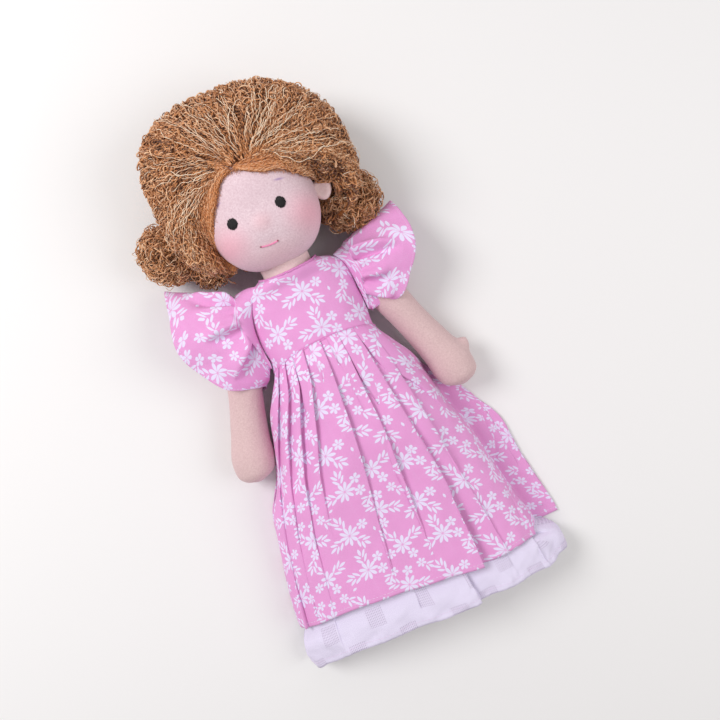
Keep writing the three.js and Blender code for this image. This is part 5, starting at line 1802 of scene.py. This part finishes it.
# Short fibres along the hairline, and flying ones at the outline.
rng = np.random.default_rng(80)
paths, shades = [], []
t = np.linspace(0, 1, 9)[:, None]
for _ in range(int(900 * DETAIL)):
    turn = math.radians(rng.uniform(22, 205))
    c, s = math.cos(turn), math.sin(turn)
    spot = HOLE_AT + hole_reach(np.array([turn]))[0] * rng.uniform(1.0, 1.07) * np.array([c, s])
    lean = np.array([-c, -s]) * rng.uniform(0.1, 1.0)
    slide = np.array([-s, c]) * (-1 if c > 0.05 else 1) * rng.uniform(0.3, 1.2)
    step = unit(lean + slide)
    long = rng.uniform(2.0, 5.0)
    plan = spot + step * long * t + 0.5 * np.sin(t * 7 + rng.uniform(0, TURN)) * np.array([-step[1], step[0]])
    if np.linalg.norm(plan - EAR_AT, axis=1).min() <= EAR_CLEAR:
        continue
    skin = skin_height(plan[:, 0], plan[:, 1], 43.0, 49.5, 0.02)
    z = np.maximum(skin, 46.5) + 0.5 + 1.1 * np.sin(t[:, 0] * math.pi) * rng.uniform(0.3, 1.2)
    paths.append(np.concatenate([plan, z[:, None]], 1))
    shades.append(np.full(len(t), rng.normal(0.42, 0.12)))
on_head(tubes("hairline_fuzz", paths, 0.11, tone=np.array(shades)), hair_wool)
paths, shades = [], []
t = np.linspace(0, 1, 12)[:, None]
for _ in range(int(420 * DETAIL)):
    line = crown_path(math.radians(rng.uniform(-40, 220)), 0.1, 3.0, 0.0, 0.5)
    spot = line[rng.integers(20, len(line))]
    out = hair_out(spot)
    side = unit(np.cross(out, rng.normal(size=3)))
    long = rng.uniform(3, 8)
    curl = rng.uniform(0.5, 1.4) * np.sin(t * 6 + rng.uniform(0, TURN)) * np.cross(out, side)
    paths.append(spot + out * (0.5 + long * 0.35 * np.sin(t * 2.2)) + side * long * t + curl)
    shades.append(np.full(len(t), rng.normal(0.55, 0.15)))
on_head(tubes("flying_fibres", paths, 0.13, tone=np.array(shades)), hair_wool)


# Pieces that don't show from the front.
def crochet_cap(rows=120, columns=220):
    """The cap the hair is sewn to: rows of loops over the back of the head, with an opening for the face."""
    d = globe(np.linspace(-0.95, 1.3, rows), np.linspace(math.pi + 0.45, TURN - 0.45, columns))
    loops = 0.35 * np.sin(np.arange(rows) * 0.9)[:, None] * np.cos(np.arange(columns) * 0.8)
    return d * (head_radius(d) + 1.0 + loops)[..., None] + np.array([0, HEAD_Y, HEAD_Z])


cap_yarn = grainy("cap_yarn", (150, 92, 56), (206, 148, 106), (1.2, 4.0), (0.85, 0.2, 0.2), (0.8, 0.5))
elastic = grainy("elastic", (206, 196, 206), (240, 234, 240), (2.4,), (0.6, 0.1, 0.3), (0.5, 0.15))
hair_elastic = grainy("hair_elastic", (120, 72, 40), (176, 116, 72), (2.0,), (0.7, 0.1, 0.25), (0.6, 0.2))
button_shell = grainy(
    "button_shell", (232, 214, 226), (248, 240, 246), (0.35, 3.0), (0.28, 0.0, 0.5), (0.1, 0.1), (0.35, 0.65)
)

on_head(thicken(surface("wig_cap_crochet", crochet_cap()), 1.0, 0.0), cap_yarn, "cap_yarn", "wig_cap")


def hair_tie(name, at, heading):
    """Three turns of round elastic about the root of a bunch."""
    c, s = math.cos(math.radians(heading)), math.sin(math.radians(heading))
    turn = np.linspace(0, 3 * TURN, 180)
    spread = np.linspace(-1.3, 1.3, 180)[:, None] * np.array([c, s, 0.0])
    path = np.array(at) + spread + 8.6 * circle(turn, np.array([-s, c, 0.0]), UP)
    on_head(tubes(f"{name}_cord", path[None], 0.7, sides=8), hair_elastic, "elastic", name)


hair_tie("hair_tie_right", (-55.0, 172.98, 26.0), -35)
hair_tie("hair_tie_left", (50.0, 159.98, 26.0), 40)

BAND_Y, BAND_HALF, BAND_GROW = 51.0, 2.5, 1.3
band_angle = angles(360)
band_heights = BAND_Y + np.linspace(-BAND_HALF, BAND_HALF, 9)
band = np.array([torso_point(np.full(360, y), band_angle, BAND_GROW) for y in band_heights])
band += 0.22 * np.sin(band_angle * 60)[:, None] * globe([0.0], band_angle)[0]
waistband = thicken(surface("petticoat_waistband", band, loop=True), 0.8, 0.0)
dress(waistband, elastic, "elastic", "torso", "petticoat_elastic")

# The button's outline, without the middle: radius and height over its lower side.
BUTTON = [(2.2, 0.35), (3.1, 0.55), (3.6, 0.1), (4.1, 0.0), (4.5, 0.35), (4.5, 1.2), (4.1, 1.6)]
BUTTON_X, HOLE_OFF, HOLE_RADIUS = -5.2, 1.1, 0.55


def turned(name, x, y, outline, sides):
    """A closed body of revolution about an upright line."""
    turn = angles(sides)
    rings = [np.stack([x + r * np.cos(turn), y + r * np.sin(turn), np.full(sides, z)], 1) for r, z in outline]
    return loft(name, rings)


def button(name, y):
    """A sew-through button: a dished disc with a rolled rim, four holes and its thread."""
    disc = face_out(turned(f"{name}_shell", BUTTON_X, y, BUTTON, 64))
    spots = [(BUTTON_X + dx, y + dy) for dx in (-HOLE_OFF, HOLE_OFF) for dy in (-HOLE_OFF, HOLE_OFF)]
    tool, *others = [turned("drill", *spot, [(HOLE_RADIUS, -1.0), (HOLE_RADIUS, 3.0)], 16) for spot in spots]
    for other in others:
        merge(tool, other)
    drill = disc.modifiers.new("holes", "BOOLEAN")
    drill.operation = "DIFFERENCE"
    drill.solver = "EXACT"
    drill.object = tool
    settle(disc)
    bpy.data.objects.remove(tool)
    dress(face_out(disc), button_shell, "button", "torso", name)
    t = np.linspace(0, 1, 12)
    z = 0.5 - 0.2 * np.sin(t * math.pi) + 1.2 * np.abs(2 * t - 1) ** 10
    ends = np.array([[spots[0], spots[3]], [spots[1], spots[2]]])
    paths = [np.stack([mix(x0, x1, t), mix(y0, y1, t), z], 1) for (x0, y0), (x1, y1) in ends]
    dress(tubes(f"{name}_thread", np.array(paths), 0.2, sides=6), hem_thread, "thread", "torso")


button("button_lower", 72.0)
button("button_upper", 96.0)


# The room.
FLOOR_HALF, FLOOR_Z = 3000.0, -0.02
floor_corners = [[x * FLOOR_HALF, y * FLOOR_HALF, FLOOR_Z] for x, y in ((-1, -1), (1, -1), (1, 1), (-1, 1))]
floor = make_mesh("floor", np.array(floor_corners), [np.array([[0, 1, 2, 3]])])
floor.data.materials.append(Paint("floor_paint", 0.9, specular=0.1).finish(srgb(240, 238, 238)))
floor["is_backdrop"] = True

world = bpy.data.worlds.new("room")
world.use_nodes = True
sky = world.node_tree.nodes["Background"]
sky.inputs[0].default_value = (1.0, 0.985, 0.98, 1.0)
sky.inputs[1].default_value = 0.49
scene.world = world

LIT_PLACE = (0, 40, 30)


def lamp(name, place, size, power):
    """A round lamp that looks at the doll's waist."""
    made = bpy.data.objects.new(name, bpy.data.lights.new(name, "AREA"))
    scene.collection.objects.link(made)
    made.data.shape = "DISK"
    made.data.size = size
    made.data.energy = power
    at, to = Vector(in_row(place)), Vector(in_row(LIT_PLACE))
    made.matrix_world = Matrix.Translation(at) @ (at - to).to_track_quat("Z", "Y").to_matrix().to_4x4()


lamp("key", (-700, 700, 900), 0.6, 10.4)
lamp("fill", (800, -200, 900), 0.9, 4.2)

scene.view_settings.view_transform = "Standard"

low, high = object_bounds()
